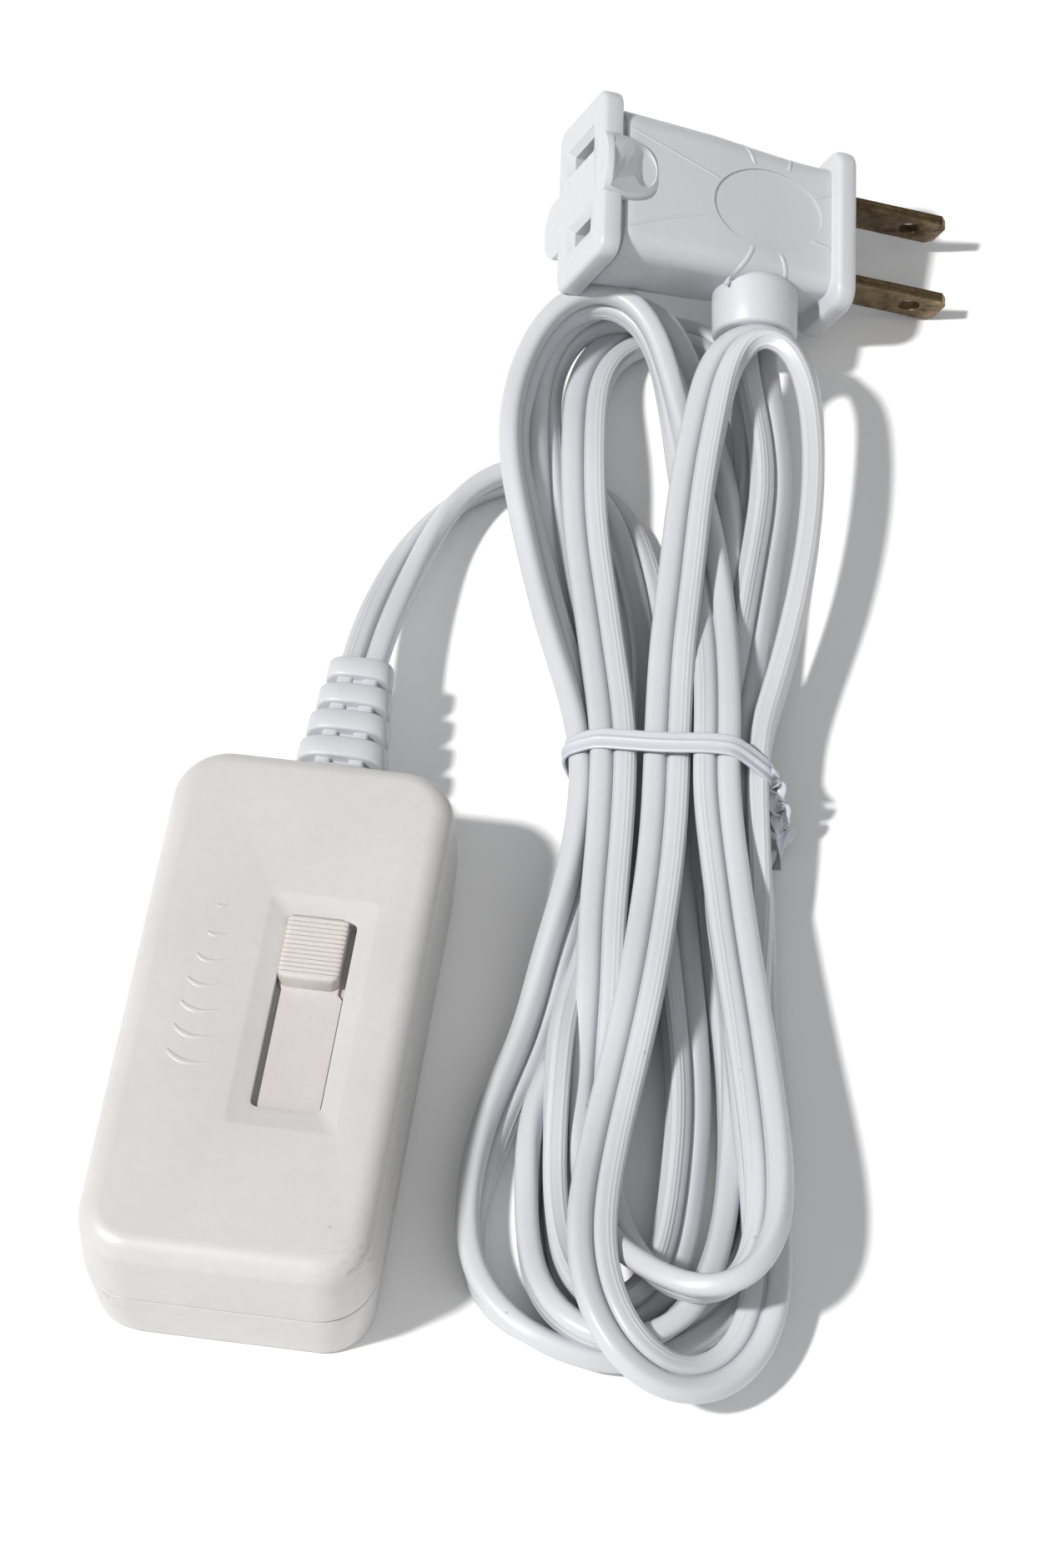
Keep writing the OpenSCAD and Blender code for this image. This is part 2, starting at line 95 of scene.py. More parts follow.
def ramp(nt, fac, stops, interp="LINEAR"):
    r = nt.nodes.new("ShaderNodeValToRGB")
    r.color_ramp.interpolation = interp
    e = r.color_ramp.elements
    while len(e) < len(stops):
        e.new(0.5)
    for k, (pos, c) in enumerate(stops):
        e[k].position = pos
        e[k].color = (c[0], c[1], c[2], 1) if hasattr(c, "__len__") else (c, c, c, 1)
    nt.links.new(fac, r.inputs[0])
    return r.outputs[0]


def mixc(nt, fac, a, b, mode="MIX"):
    m = nt.nodes.new("ShaderNodeMix")
    m.data_type = "RGBA"
    m.blend_type = mode
    for sock, v in ((m.inputs[0], fac), (m.inputs[6], a), (m.inputs[7], b)):
        if hasattr(v, "links"):
            nt.links.new(v, sock)
        else:
            sock.default_value = v if not hasattr(v, "__len__") else (*v, 1)
    return m.outputs[2]


def bump(nt, b, height, strength, dist, chain=None):
    n = nt.nodes.new("ShaderNodeBump")
    n.inputs["Strength"].default_value = strength
    n.inputs["Distance"].default_value = dist
    nt.links.new(height, n.inputs["Height"])
    if chain is not None:
        nt.links.new(chain, n.inputs["Normal"])
    nt.links.new(n.outputs[0], b.inputs["Normal"])
    return n.outputs[0]


def shade(c, k):
    return tuple(min(1, x * k) for x in c)


def plastic(name, col, rough=0.42, tint=None, grain=2600, grain_h=0.00002, mottle=55, spread=0.035, wear=None,
            sss=0.0, coat=0.0, specks=True, streak=None):
    """Moulded plastic: slow mottling, fine grain, a few specks of dust and, where asked, scuffing."""
    m, nt, b = mat_new(name)
    vec = coords(nt, streak or (1, 1, 1))
    tint = tint or shade(col, 0.93)
    big = noise(nt, vec, mottle, 3)
    base = ramp(nt, big, [(0.3, shade(col, 1 - spread)), (0.7, shade(col, 1 + spread * 0.6))])
    fine = noise(nt, vec, mottle * 9, 5, 0.65)
    f2 = ramp(nt, fine, [(0.42, 0.0), (0.78, 1.0)])
    scale = nt.nodes.new("ShaderNodeMath")
    scale.operation = "MULTIPLY"
    scale.inputs[1].default_value = 0.35
    nt.links.new(f2, scale.inputs[0])
    base = mixc(nt, scale.outputs[0], base, tint)
    if specks:
        sp = nt.nodes.new("ShaderNodeTexVoronoi")
        sp.inputs["Scale"].default_value = 210
        nt.links.new(vec, sp.inputs["Vector"])
        gate = noise(nt, vec, 37, 2)
        dots = ramp(nt, sp.outputs["Distance"], [(0.03, 1.0), (0.07, 0.0)])
        rare = ramp(nt, gate, [(0.58, 0.0), (0.66, 0.45)])
        both = nt.nodes.new("ShaderNodeMath")
        both.operation = "MULTIPLY"
        nt.links.new(dots, both.inputs[0])
        nt.links.new(rare, both.inputs[1])
        base = mixc(nt, both.outputs[0], base, shade(col, 0.45))
    if wear:
        base = wear(nt, vec, base, b)
    nt.links.new(base, b.inputs["Base Color"])
    rr = ramp(nt, fine, [(0.3, rough - 0.05), (0.75, rough + 0.07)])
    nt.links.new(rr, b.inputs["Roughness"])
    g = noise(nt, vec, grain, 2)
    first = bump(nt, b, g, 0.35, grain_h)
    bump(nt, b, big, 0.25, 0.0002, chain=first)
    if sss:
        b.inputs["Subsurface Weight"].default_value = sss
        b.inputs["Subsurface Radius"].default_value = (0.0016, 0.0013, 0.0011)
        b.inputs["Subsurface Scale"].default_value = 1.0
    if coat:
        b.inputs["Coat Weight"].default_value = coat
        b.inputs["Coat Roughness"].default_value = 0.2
    return m


def metal(name, col, rough=0.3, dark=0.55, scale=300, stretch=(1, 1, 1), tarnish=0.5, tint=None):
    """Metal with brushed streaks and patchy tarnish."""
    m, nt, b = mat_new(name)
    b.inputs["Metallic"].default_value = 1.0
    vec = coords(nt, stretch)
    patch = noise(nt, vec, scale, 6, 0.7)
    c = ramp(nt, patch, [(0.34, tint or shade(col, dark)), (0.34 + 0.4 * tarnish, col)])
    lines = noise(nt, coords(nt, (stretch[0] * 0.1, stretch[1] * 4, stretch[2] * 4)), scale * 4, 3)
    c = mixc(nt, ramp(nt, lines, [(0.45, 0.0), (0.7, 0.25)]), c, shade(col, 1.25))
    nt.links.new(c, b.inputs["Base Color"])
    nt.links.new(ramp(nt, patch, [(0.35, rough + 0.25), (0.7, rough)]), b.inputs["Roughness"])
    bump(nt, b, lines, 0.25, 0.00003)
    return m


def scuffs(where, size, strength, dark):
    """Dirty scuffing near one place, fading out with distance."""
    def paint(nt, vec, base, b):
        sub = nt.nodes.new("ShaderNodeVectorMath")
        sub.operation = "DISTANCE"
        tc = nt.nodes.new("ShaderNodeTexCoord")
        nt.links.new(tc.outputs["Object"], sub.inputs[0])
        sub.inputs[1].default_value = where
        near = ramp(nt, sub.outputs["Value"], [(0.0, 1.0), (size, 0.0)])
        tex = noise(nt, coords(nt, (0.5, 1, 3.5)), 900, 4, 0.7)
        t = ramp(nt, tex, [(0.53, 0.0), (0.60, 1.0)])
        mul = nt.nodes.new("ShaderNodeMath")
        mul.operation = "MULTIPLY"
        nt.links.new(near, mul.inputs[0])
        nt.links.new(t, mul.inputs[1])
        k = nt.nodes.new("ShaderNodeMath")
        k.operation = "MULTIPLY"
        k.inputs[1].default_value = strength
        nt.links.new(mul.outputs[0], k.inputs[0])
        return mixc(nt, k.outputs[0], base, dark)
    return paint


WARM = (0.575, 0.562, 0.550)
COOL = (0.540, 0.554, 0.577)
M = {}
M["case"] = plastic("case_plastic", WARM, 0.40, tint=(0.50, 0.482, 0.462), sss=0.05,
                    wear=scuffs((0.0180, -0.0358, 0.0190), 0.0045, 0.75, (0.26, 0.21, 0.16)))
M["case_low"] = plastic("case_plastic_low", shade(WARM, 0.985), 0.42, tint=(0.50, 0.482, 0.462), sss=0.05,
                        wear=scuffs((-0.0150, -0.0390, 0.0098), 0.0045, 0.7, (0.28, 0.23, 0.18)))
M["knob"] = plastic("knob_plastic", (0.550, 0.520, 0.508), 0.46, tint=(0.44, 0.39, 0.36), mottle=160, sss=0.04)
M["shutter"] = plastic("shutter_plastic", (0.555, 0.526, 0.520), 0.40, tint=(0.49, 0.455, 0.44), mottle=120, sss=0.05)
M["cord"] = plastic("cord_pvc", COOL, 0.36, tint=shade(COOL, 0.93), mottle=70, spread=0.03, grain=1500, grain_h=0.00001, sss=0.06)
M["relief"] = plastic("relief_pvc", shade(COOL, 1.0), 0.40, tint=shade(COOL, 0.88), mottle=120, sss=0.05)
M["plug"] = plastic("plug_pvc", shade(COOL, 1.0), 0.38, tint=shade(COOL, 0.93), mottle=80, spread=0.03, sss=0.05)
M["tie"] = plastic("tie_plastic", (0.530, 0.548, 0.590), 0.40, mottle=200, specks=False, coat=0.08)
M["insert"] = plastic("insert_plastic", (0.42, 0.42, 0.40), 0.5, mottle=200, specks=False)
M["black"] = plastic("black_moulding", (0.035, 0.035, 0.037), 0.45, mottle=300, specks=False)
M["wire"] = plastic("wire_pvc", (0.70, 0.70, 0.68), 0.4, mottle=200, specks=False)
M["board"] = plastic("phenolic_board", (0.36, 0.22, 0.08), 0.45, tint=(0.25, 0.14, 0.05), mottle=260, specks=True)
M["track"] = plastic("resistor_strip", (0.20, 0.10, 0.05), 0.5, mottle=240, specks=False)
M["cap"] = plastic("film_coating", (0.55, 0.30, 0.06), 0.25, mottle=180, specks=False, coat=0.5)
M["resistor"] = plastic("resistor_body", (0.60, 0.45, 0.26), 0.4, mottle=500, specks=False, coat=0.3)
M["core"] = plastic("painted_core", (0.26, 0.28, 0.08), 0.4, mottle=300, specks=False, coat=0.3)
M["fuse"] = plastic("fuse_coating", (0.30, 0.42, 0.30), 0.35, mottle=400, specks=False, coat=0.4)
M["diac"] = plastic("diac_glass", (0.08, 0.14, 0.40), 0.15, mottle=500, specks=False, coat=0.6)
M["blade"] = metal("tarnished_brass", (0.34, 0.245, 0.135), 0.34, tint=(0.055, 0.036, 0.020), scale=260, tarnish=1.0, stretch=(1, 1, 1))
M["brass"] = metal("spring_brass", (0.70, 0.50, 0.22), 0.28)
M["steel"] = metal("zinc_steel", (0.56, 0.57, 0.58), 0.32)
M["alu"] = metal("aluminium_sheet", (0.72, 0.73, 0.74), 0.3)
M["copper"] = metal("enamelled_copper", (0.66, 0.27, 0.09), 0.25)

NODE_MATS = {
    "case_screws": "steel", "slider_shutter": "shutter", "wiper_carriage": "black", "wiper_contact": "brass",
    "pot_frame": "steel", "pot_track": "track", "circuit_board": "board", "triac": "black", "heat_sink": "alu",
    "triac_rivet": "alu", "choke_core": "core", "choke_winding": "copper", "film_capacitor": "cap",
    "resistors": "resistor", "diac": "diac", "fuse": "fuse", "lead_wires": "wire", "plug_insert": "insert",
    "contact_near": "brass", "contact_far": "brass", "plug_wires": "wire",
    "base_cover": "case_low", "top_cover": "case", "slider_knob": "knob", "strain_relief": "relief",
    "cord_lead": "cord", "cord_hank": "cord", "cord_end": "cord", "twist_tie": "tie", "plug_body": "plug",
    "blade_near": "blade", "blade_far": "blade",
}
for node_name, key in NODE_MATS.items():
    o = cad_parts.get(node_name)
    if o is None:
        continue
    if not o.material_slots:
        o.data.materials.append(M[key])
    for s in o.material_slots:
        s.material = M[key]


# ---------------------------------------------------------------- mesh helpers
def make(name, verts, faces, mat, body="unit", angle=38, smooth=True):
    me = bpy.data.meshes.new(name)
    me.from_pydata([tuple(v) for v in verts], [], faces)
    me.validate()
    bm = bmesh.new()
    bm.from_mesh(me)
    bmesh.ops.remove_doubles(bm, verts=bm.verts, dist=1e-7)
    bmesh.ops.recalc_face_normals(bm, faces=bm.faces)
    bm.to_mesh(me)
    bm.free()
    ob = bpy.data.objects.new(name, me)
    scene.collection.objects.link(ob)
    ob.data.materials.append(M[mat])
    if smooth:
        me.shade_smooth()
        me.set_sharp_from_angle(angle=math.radians(angle))
    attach(ob, body)
    return ob


def ring(w, l, r, z, n=10, cx=0.0, cy=0.0):
    """Rounded rectangle at height z in mm: 4 (n + 1) points, anticlockwise."""
    pts = []
    for q in range(4):
        sx = 1 if q in (0, 3) else -1
        sy = 1 if q < 2 else -1
        for i in range(n + 1):
            a = math.radians(90 * q + 90 * i / n)
            pts.append((cx + sx * (w / 2 - r) + r * math.cos(a), cy + sy * (l / 2 - r) + r * math.sin(a), z))
    return pts


def loft(rings, cap0=True, cap1=True):
    n = len(rings[0])
    verts = [p for rg in rings for p in rg]
    faces = []
    for k in range(len(rings) - 1):
        for j in range(n):
            a, b = k * n + j, k * n + (j + 1) % n
            faces.append((a, b, b + n, a + n))
    if cap0:
        faces.append(tuple(range(n - 1, -1, -1)))
    if cap1:
        faces.append(tuple(range((len(rings) - 1) * n, len(rings) * n)))
    return verts, faces


def cut_with(ob, cutter):
    """Subtracts a closed helper mesh from ob and bakes the result."""
    md = ob.modifiers.new("cut", "BOOLEAN")
    md.operation = "DIFFERENCE"
    md.solver = "EXACT"
    md.object = cutter
    dg = bpy.context.evaluated_depsgraph_get()
    me = bpy.data.meshes.new_from_object(ob.evaluated_get(dg))
    ob.modifiers.clear()
    ob.data = me
    bpy.data.objects.remove(cutter)
    me.shade_smooth()
    me.set_sharp_from_angle(angle=math.radians(38))
    return ob


def helper(verts, faces):
    me = bpy.data.meshes.new("helper")
    me.from_pydata([tuple(v) for v in verts], [], faces)
    bm = bmesh.new()
    bm.from_mesh(me)
    bmesh.ops.recalc_face_normals(bm, faces=bm.faces)
    bm.to_mesh(me)
    bm.free()
    ob = bpy.data.objects.new("helper", me)
    scene.collection.objects.link(ob)
    return ob


def scaled(vf):
    return [(v[0] * MM, v[1] * MM, v[2] * MM) for v in vf[0]], vf[1]


def joined(parts):
    verts, faces = [], []
    for v, f in parts:
        k = len(verts)
        verts += list(v)
        faces += [tuple(i + k for i in q) for q in f]
    return verts, faces


def spline(P, n):
    """Catmull-Rom through the rows of P, n steps a span."""
    A = np.vstack([2 * P[0] - P[1], P, 2 * P[-1] - P[-2]])
    out = []
    for i in range(len(P) - 1):
        a, b, c, d = A[i], A[i + 1], A[i + 2], A[i + 3]
        for j in range(n):
            t = j / n
            out.append(0.5 * (2 * b + (c - a) * t + (2 * a - 5 * b + 4 * c - d) * t * t + (3 * b - a - 3 * c + d) * t ** 3))
    out.append(P[-1])
    return np.array(out)


def resample(Q, step):
    s = np.r_[0, np.cumsum(np.linalg.norm(np.diff(Q[:, :3], axis=0), axis=1))]
    t = np.linspace(0, s[-1], int(round(s[-1] / step)) + 1)
    return np.stack([np.interp(t, s, Q[:, k]) for k in range(Q.shape[1])], 1)


def smoothed(x, k):
    for _ in range(k):
        y = x.copy()
        y[1:-1] = 0.25 * x[:-2] + 0.5 * x[1:-1] + 0.25 * x[2:]
        x = y
    return x


def wide_axis(p, roll):
    """Unit tangent and unit width direction of a flat cord; roll 0 or 180 lies flat, 90 or 270 stands on edge."""
    t = np.gradient(p, axis=0)
    t /= np.linalg.norm(t, axis=1)[:, None]
    h = np.cross(t, [0, 0, 1.0])
    h /= np.linalg.norm(h, axis=1)[:, None]
    v = np.cross(h, t)
    c, s = np.cos(np.radians(roll))[:, None], np.sin(np.radians(roll))[:, None]
    return t, c * h + s * v


# ---------------------------------------------------------------- the cord
CORE_R = 1.65      # radius of one core's jacket
ROUTE = np.array([
    (1.1, 62.1, 10.6, 180), (1.2, 66.0, 10.0, 180), (1.5, 71.0, 9.0, 181), (2.5, 78.0, 7.5, 185), (3.5, 84.0, 6.0, 197),
    (4.8, 90.0, 4.8, 220), (7.0, 96.0, 4.0, 238), (10.0, 101.0, 3.5, 252), (14.5, 104.6, 3.3, 270), (20.0, 106.0, 3.3, 262),
    (26.0, 105.0, 3.2, 245), (31.0, 100.5, 2.9, 225), (34.8, 93.5, 2.6, 210), (37.6, 86.5, 1.9, 190),
    (40.2, 77.3, 1.8, 185), (42.0, 67.3, 1.8, 180), (43.1, 57.4, 1.8, 180), (43.2, 47.6, 1.8, 185), (42.7, 37.7, 1.9, 195),
    (41.8, 27.8, 2.2, 210), (40.4, 18.5, 1.8, 200), (38.4, 10.5, 1.8, 200), (36.5, 3.5, 2.2, 215), (35.4, -3.5, 2.9, 240),
    (35.3, -10.8, 3.3, 268), (36.0, -17.6, 3.3, 270), (37.4, -23.7, 3.8, 270), (39.9, -29.4, 5.0, 268), (43.4, -33.9, 6.2, 262),
    (47.6, -36.1, 6.8, 255), (52.1, -35.8, 6.6, 245), (56.0, -33.4, 6.0, 240), (59.2, -29.1, 5.0, 245), (60.9, -23.8, 4.2, 255),
    (61.5, -18.2, 3.5, 262), (61.6, -11.9, 3.4, 266), (61.2, -4.3, 3.4, 266), (60.2, 4.5, 3.4, 262), (58.6, 13.3, 3.5, 250),
    (56.7, 22.2, 3.8, 235), (54.7, 31.0, 4.2, 220), (52.6, 40.0, 4.6, 205), (50.8, 49.2, 5.0, 190), (49.4, 57.5, 5.0, 182),
    (48.7, 65.9, 5.0, 182), (48.4, 74.6, 5.0, 185), (48.2, 84.2, 4.9, 192), (47.6, 93.2, 4.7, 200), (46.3, 101.5, 4.5, 215),
    (44.2, 109.0, 4.4, 235), (41.6, 116.3, 4.6, 255), (39.4, 123.0, 5.2, 268), (37.0, 129.0, 6.0, 272), (33.9, 133.2, 6.8, 272),
    (29.9, 134.4, 7.4, 272), (25.9, 133.9, 7.6, 270), (22.2, 131.8, 7.6, 264), (19.4, 127.7, 7.4, 258), (18.1, 122.2, 7.0, 250),
    (18.3, 114.6, 6.6, 240), (19.3, 107.3, 6.2, 230), (21.0, 100.1, 5.8, 215), (23.0, 93.0, 5.5, 200), (25.5, 85.9, 5.4, 180),
    (28.2, 78.9, 5.4, 160), (31.0, 71.1, 5.5, 145), (33.6, 63.4, 5.6, 130), (35.6, 55.9, 5.6, 125), (36.7, 48.3, 5.6, 120),
    (37.3, 38.7, 5.5, 110), (37.4, 29.3, 5.2, 100), (37.1, 19.3, 6.2, 105), (37.1, 9.6, 6.8, 105), (37.3, 0.9, 6.2, 98),
    (38.0, -6.9, 4.4, 90), (39.1, -14.2, 4.3, 92), (40.5, -20.9, 4.2, 96), (42.1, -25.8, 4.2, 104), (44.0, -30.1, 4.2, 114),
    (47.8, -32.2, 4.2, 124), (51.7, -30.4, 4.0, 132), (54.3, -25.4, 3.8, 138), (55.3, -19.2, 3.6, 140), (55.5, -12.9, 3.6, 140),
    (55.3, -5.9, 3.6, 140), (54.8, 1.7, 3.6, 142), (53.5, 9.9, 3.7, 146), (51.7, 18.7, 3.9, 150), (49.8, 27.8, 4.0, 156),
    (48.2, 37.1, 4.0, 164), (47.1, 46.6, 4.0, 172), (46.5, 55.6, 4.0, 178), (46.7, 63.5, 4.0, 175), (47.5, 71.6, 4.0, 168),
    (48.7, 79.4, 4.1, 158), (49.5, 86.7, 4.3, 148), (50.1, 94.2, 4.5, 140), (50.5, 101.7, 4.6, 135), (50.3, 109.3, 4.7, 134),
    (49.0, 116.8, 4.8, 136), (46.7, 123.5, 5.0, 140), (43.7, 130.0, 3.6, 150), (40.3, 133.9, 2.6, 160), (36.4, 135.3, 2.2, 170),
    (32.2, 135.3, 2.2, 176), (28.6, 133.1, 2.8, 178), (25.8, 128.5, 4.2, 179), (24.5, 122.1, 5.8, 180), (24.8, 113.6, 7.0, 180),
    (25.6, 105.4, 7.7, 180), (27.0, 97.1, 7.8, 180), (28.9, 88.8, 8.2, 180), (31.1, 80.5, 8.7, 180), (33.2, 72.2, 9.4, 180),
    (35.3, 63.8, 10.4, 180), (37.2, 55.7, 11.1, 180), (38.1, 48.8, 11.2, 180), (38.8, 41.5, 10.8, 180), (39.4, 33.8, 10.2, 180),
    (39.7, 26.3, 9.4, 180), (40.1, 18.8, 8.6, 180), (40.7, 10.8, 7.8, 180), (41.6, 3.0, 7.0, 180), (42.7, -4.8, 6.4, 184),
    (44.0, -11.4, 6.0, 192), (45.8, -16.8, 6.0, 206), (48.4, -20.7, 6.6, 226), (51.4, -24.3, 8.0, 246), (55.1, -27.7, 9.8, 258),
    (59.3, -29.9, 11.4, 262), (63.1, -30.0, 12.6, 258), (66.1, -28.1, 13.6, 246), (67.7, -23.9, 14.2, 228), (67.8, -17.9, 14.4, 212),
    (66.7, -10.5, 14.2, 200), (64.8, -2.4, 13.8, 190), (62.7, 6.0, 13.2, 184), (60.5, 14.5, 12.6, 180), (58.2, 23.1, 12.0, 180),
    (56.1, 31.8, 11.6, 180), (54.1, 40.5, 11.4, 180), (52.3, 47.9, 11.3, 180), (51.5, 56.1, 11.3, 180), (50.0, 66.1, 11.0, 180),
    (48.4, 76.6, 10.2, 185), (46.5, 85.7, 9.4, 200), (44.1, 94.8, 8.8, 215), (41.5, 102.8, 8.8, 235), (39.1, 110.3, 9.6, 250),
    (36.8, 117.4, 11.0, 262), (34.0, 124.6, 12.3, 270), (30.4, 130.0, 13.3, 270), (26.2, 131.7, 13.6, 270), (22.4, 130.9, 13.4, 270),
    (19.0, 127.3, 12.8, 268), (16.7, 121.8, 12.0, 262), (15.9, 115.4, 11.0, 258), (16.2, 108.5, 10.0, 254), (17.2, 101.5, 9.2, 250),
    (19.2, 93.9, 8.6, 244), (21.7, 86.3, 8.2, 238), (24.5, 78.6, 8.0, 234), (27.5, 71.0, 8.0, 232), (30.6, 63.5, 8.0, 240),
    (32.9, 56.7, 8.0, 252), (34.3, 51.9, 8.0, 258), (35.1, 46.5, 7.8, 255), (36.0, 38.6, 7.4, 245), (36.4, 30.9, 6.8, 235),
    (36.1, 23.3, 6.0, 225), (34.8, 15.6, 5.2, 218), (33.0, 9.2, 4.4, 216), (30.8, 2.8, 3.8, 220), (29.4, -3.7, 3.5, 232),
    (28.5, -10.1, 3.3, 246), (28.3, -16.4, 3.3, 260), (28.8, -22.0, 3.3, 268), (30.2, -26.4, 3.3, 270), (32.6, -29.7, 3.3, 270),
    (35.9, -32.3, 3.3, 266), (39.9, -33.9, 2.9, 248), (44.8, -34.2, 2.1, 215), (50.1, -33.7, 1.7, 190), (55.3, -32.0, 1.7, 180),
    (60.2, -28.4, 1.7, 180), (64.5, -23.2, 1.7, 178), (66.4, -17.0, 2.0, 172), (66.6, -9.4, 2.5, 162), (65.8, -1.0, 3.2, 150),
    (64.3, 8.5, 4.2, 130), (62.2, 19.2, 5.4, 110), (60.2, 30.3, 6.4, 98), (58.2, 41.8, 7.2, 92), (56.7, 51.0, 7.6, 90),
    (56.1, 59.0, 8.2, 90), (57.2, 64.5, 8.6, 90), (58.5, 71.4, 9.2, 90), (59.3, 78.2, 10.0, 90), (59.8, 85.0, 10.8, 90),
    (59.9, 91.8, 11.6, 90), (59.7, 98.7, 12.4, 90), (59.1, 105.5, 13.2, 92), (58.0, 112.4, 14.0, 96), (56.8, 117.6, 15.0, 104),
    (55.2, 122.0, 16.0, 116), (52.2, 125.2, 16.8, 130), (48.2, 125.6, 17.0, 142), (45.1, 122.9, 16.7, 155), (43.6, 117.2, 16.2, 165),
    (43.2, 109.9, 15.6, 172), (42.7, 102.6, 15.0, 176), (42.7, 94.8, 14.4, 178), (42.9, 87.2, 13.6, 180), (43.3, 79.8, 12.8, 180),
    (43.7, 72.3, 12.2, 180), (44.2, 64.7, 11.8, 180), (44.7, 56.4, 11.6, 180), (45.4, 49.5, 11.6, 180), (46.1, 42.1, 11.4, 180),
    (46.5, 34.2, 11.0, 180), (46.5, 26.5, 10.5, 180), (46.3, 18.8, 10.0, 180), (46.1, 11.1, 9.6, 180), (45.7, 3.4, 9.4, 180),
    (45.1, -4.5, 9.6, 182), (44.8, -11.7, 10.0, 186), (44.9, -18.7, 10.3, 190), (45.7, -25.3, 10.2, 194), (47.2, -30.9, 9.6, 196),
    (49.6, -35.4, 8.6, 195), (52.7, -38.8, 7.4, 192), (56.4, -40.4, 6.4, 190), (60.2, -40.2, 5.8, 188), (63.6, -38.4, 5.4, 186),
    (66.4, -35.0, 5.2, 184), (68.0, -30.5, 5.4, 182), (68.4, -25.2, 5.8, 180), (67.7, -18.8, 6.2, 178), (66.2, -10.5, 6.6, 176),
    (64.0, -1.0, 7.0, 175), (61.8, 8.9, 7.2, 172), (59.7, 19.0, 7.4, 168), (57.6, 29.2, 7.6, 165), (55.7, 39.7, 7.8, 162),
    (54.3, 49.0, 8.0, 160), (53.7, 57.4, 8.0, 158), (53.5, 64.6, 7.8, 155), (53.4, 71.9, 7.6, 150), (53.3, 79.3, 7.4, 145),
    (53.4, 86.9, 7.2, 140), (53.5, 94.3, 7.2, 138), (53.6, 101.8, 7.4, 138), (53.0, 107.0, 7.8, 140), (51.6, 113.4, 8.5, 145),
    (49.9, 118.8, 9.5, 150), (48.6, 123.2, 10.7, 156), (48.0, 126.0, 11.45, 158), (47.74, 128.42, 12.05, 158), (47.45, 131.0, 12.7, 158),
])


def settle(Q, rounds=300):
    """Lets the strands push each other apart and rest on the table, each strand being two round cores side by side."""
    p, roll, home = Q[:, :3].copy(), Q[:, 3].copy(), Q[:, :3].copy()
    n = len(p)
    idx = np.arange(n)
    held = np.zeros(n, bool)
    held[:6] = True
    held[-4:] = True
    free = (~held)[:, None]
    own = np.r_[idx, idx]
    two = 2 * CORE_R
    for it in range(rounds):
        t, w = wide_axis(p, roll)
        L = np.concatenate([p + CORE_R * w, p - CORE_R * w])
        if it % 5 == 0:
            d2 = (L ** 2).sum(1)[:, None] + (L ** 2).sum(1)[None, :] - 2 * L @ L.T
            near = (np.abs(own[:, None] - own[None, :]) > 5) & (d2 < (two + 2) ** 2)
            I, J = np.nonzero(near)
            keep = I < J
            I, J = I[keep], J[keep]
        gap = L[I] - L[J]
        dist = np.linalg.norm(gap, axis=1) + 1e-9
        hit = dist < two + 0.08
        i, j, gap, dist = I[hit], J[hit], gap[hit], dist[hit]
        push = gap / dist[:, None] * (two + 0.08 - dist)[:, None] * 0.38
        F = np.zeros((n, 3))
        cnt = np.zeros(n)
        np.add.at(F, own[i], push)
        np.add.at(F, own[j], -push)
        np.add.at(cnt, own[i], 1.0)
        np.add.at(cnt, own[j], 1.0)
        p = p + smoothed(F / np.sqrt(np.maximum(cnt, 1))[:, None], 8) * free
        t, w = wide_axis(p, roll)
        low = np.minimum((p + CORE_R * w)[:, 2], (p - CORE_R * w)[:, 2]) - CORE_R - 0.12
        p[:, 2] += np.maximum(-low, 0) * (~held)
        q = p.copy()
        q[2:-2] = p[2:-2] + 0.35 * (-(p[:-4] + p[4:]) / 6 + (p[1:-3] + p[3:-1]) * 4 / 6 - p[2:-2])
        p = np.where(held[:, None], p, q)
        p = np.where(held[:, None], p, p + (home - p) * (0.045, 0.045, 0.006))
    p = np.where(held[:, None], p, home + smoothed(p - home, 8))
    t, w = wide_axis(p, roll)
    low = np.minimum((p + CORE_R * w)[:, 2], (p - CORE_R * w)[:, 2]) - CORE_R - 0.12
    p[:, 2] += np.maximum(-low, 0) * (~held)
    return np.c_[p, roll]


route = resample(spline(ROUTE, 8), 2.4)
route = np.c_[smoothed(route[:, :3], 6), smoothed(route[:, 3], 14)]
route = settle(route)
fine = resample(spline(route, 3), 1.15)
fine = np.c_[smoothed(fine[:, :3], 4), smoothed(fine[:, 3], 8)]
head = np.array([[ROUTE[0][0], ROUTE[0][1] - k, ROUTE[0][2], ROUTE[0][3]] for k in (4.6, 3.45, 2.3, 1.15)])
fine = np.vstack([head, fine])
LINE = fine[:, :3]
TAN, WIDE = wide_axis(LINE, fine[:, 3])
THIN = np.cross(TAN, WIDE)


def cord_section():
    """Flat two-core section in mm: a plain round core at -w, a squarer ribbed one at +w."""
    pts = []
    for k in range(49):
        a = math.radians(20 + (360 - 40) * k / 48)
        sq = (abs(math.cos(a)) ** 2.7 + abs(math.sin(a)) ** 2.7) ** (-1 / 2.7)
        pts.append((-CORE_R + 1.6 * sq * math.cos(a), 1.56 * sq * math.sin(a)))
    for k in range(73):
        d = -(180 - 22) + (360 - 44) * k / 72
        a = math.radians(d)
        sq = (abs(math.cos(a)) ** 3.4 + abs(math.sin(a)) ** 3.4) ** (-1 / 3.4)
        r = 1.53 * sq
        for c0 in (-82, -64, -46, -26, 26, 46, 64, 82):
            r += 0.10 * math.exp(-((d - c0) / 4.4) ** 2)
        pts.append((CORE_R - 0.02 + r * math.cos(a), r * math.sin(a) * 0.985))
    return pts


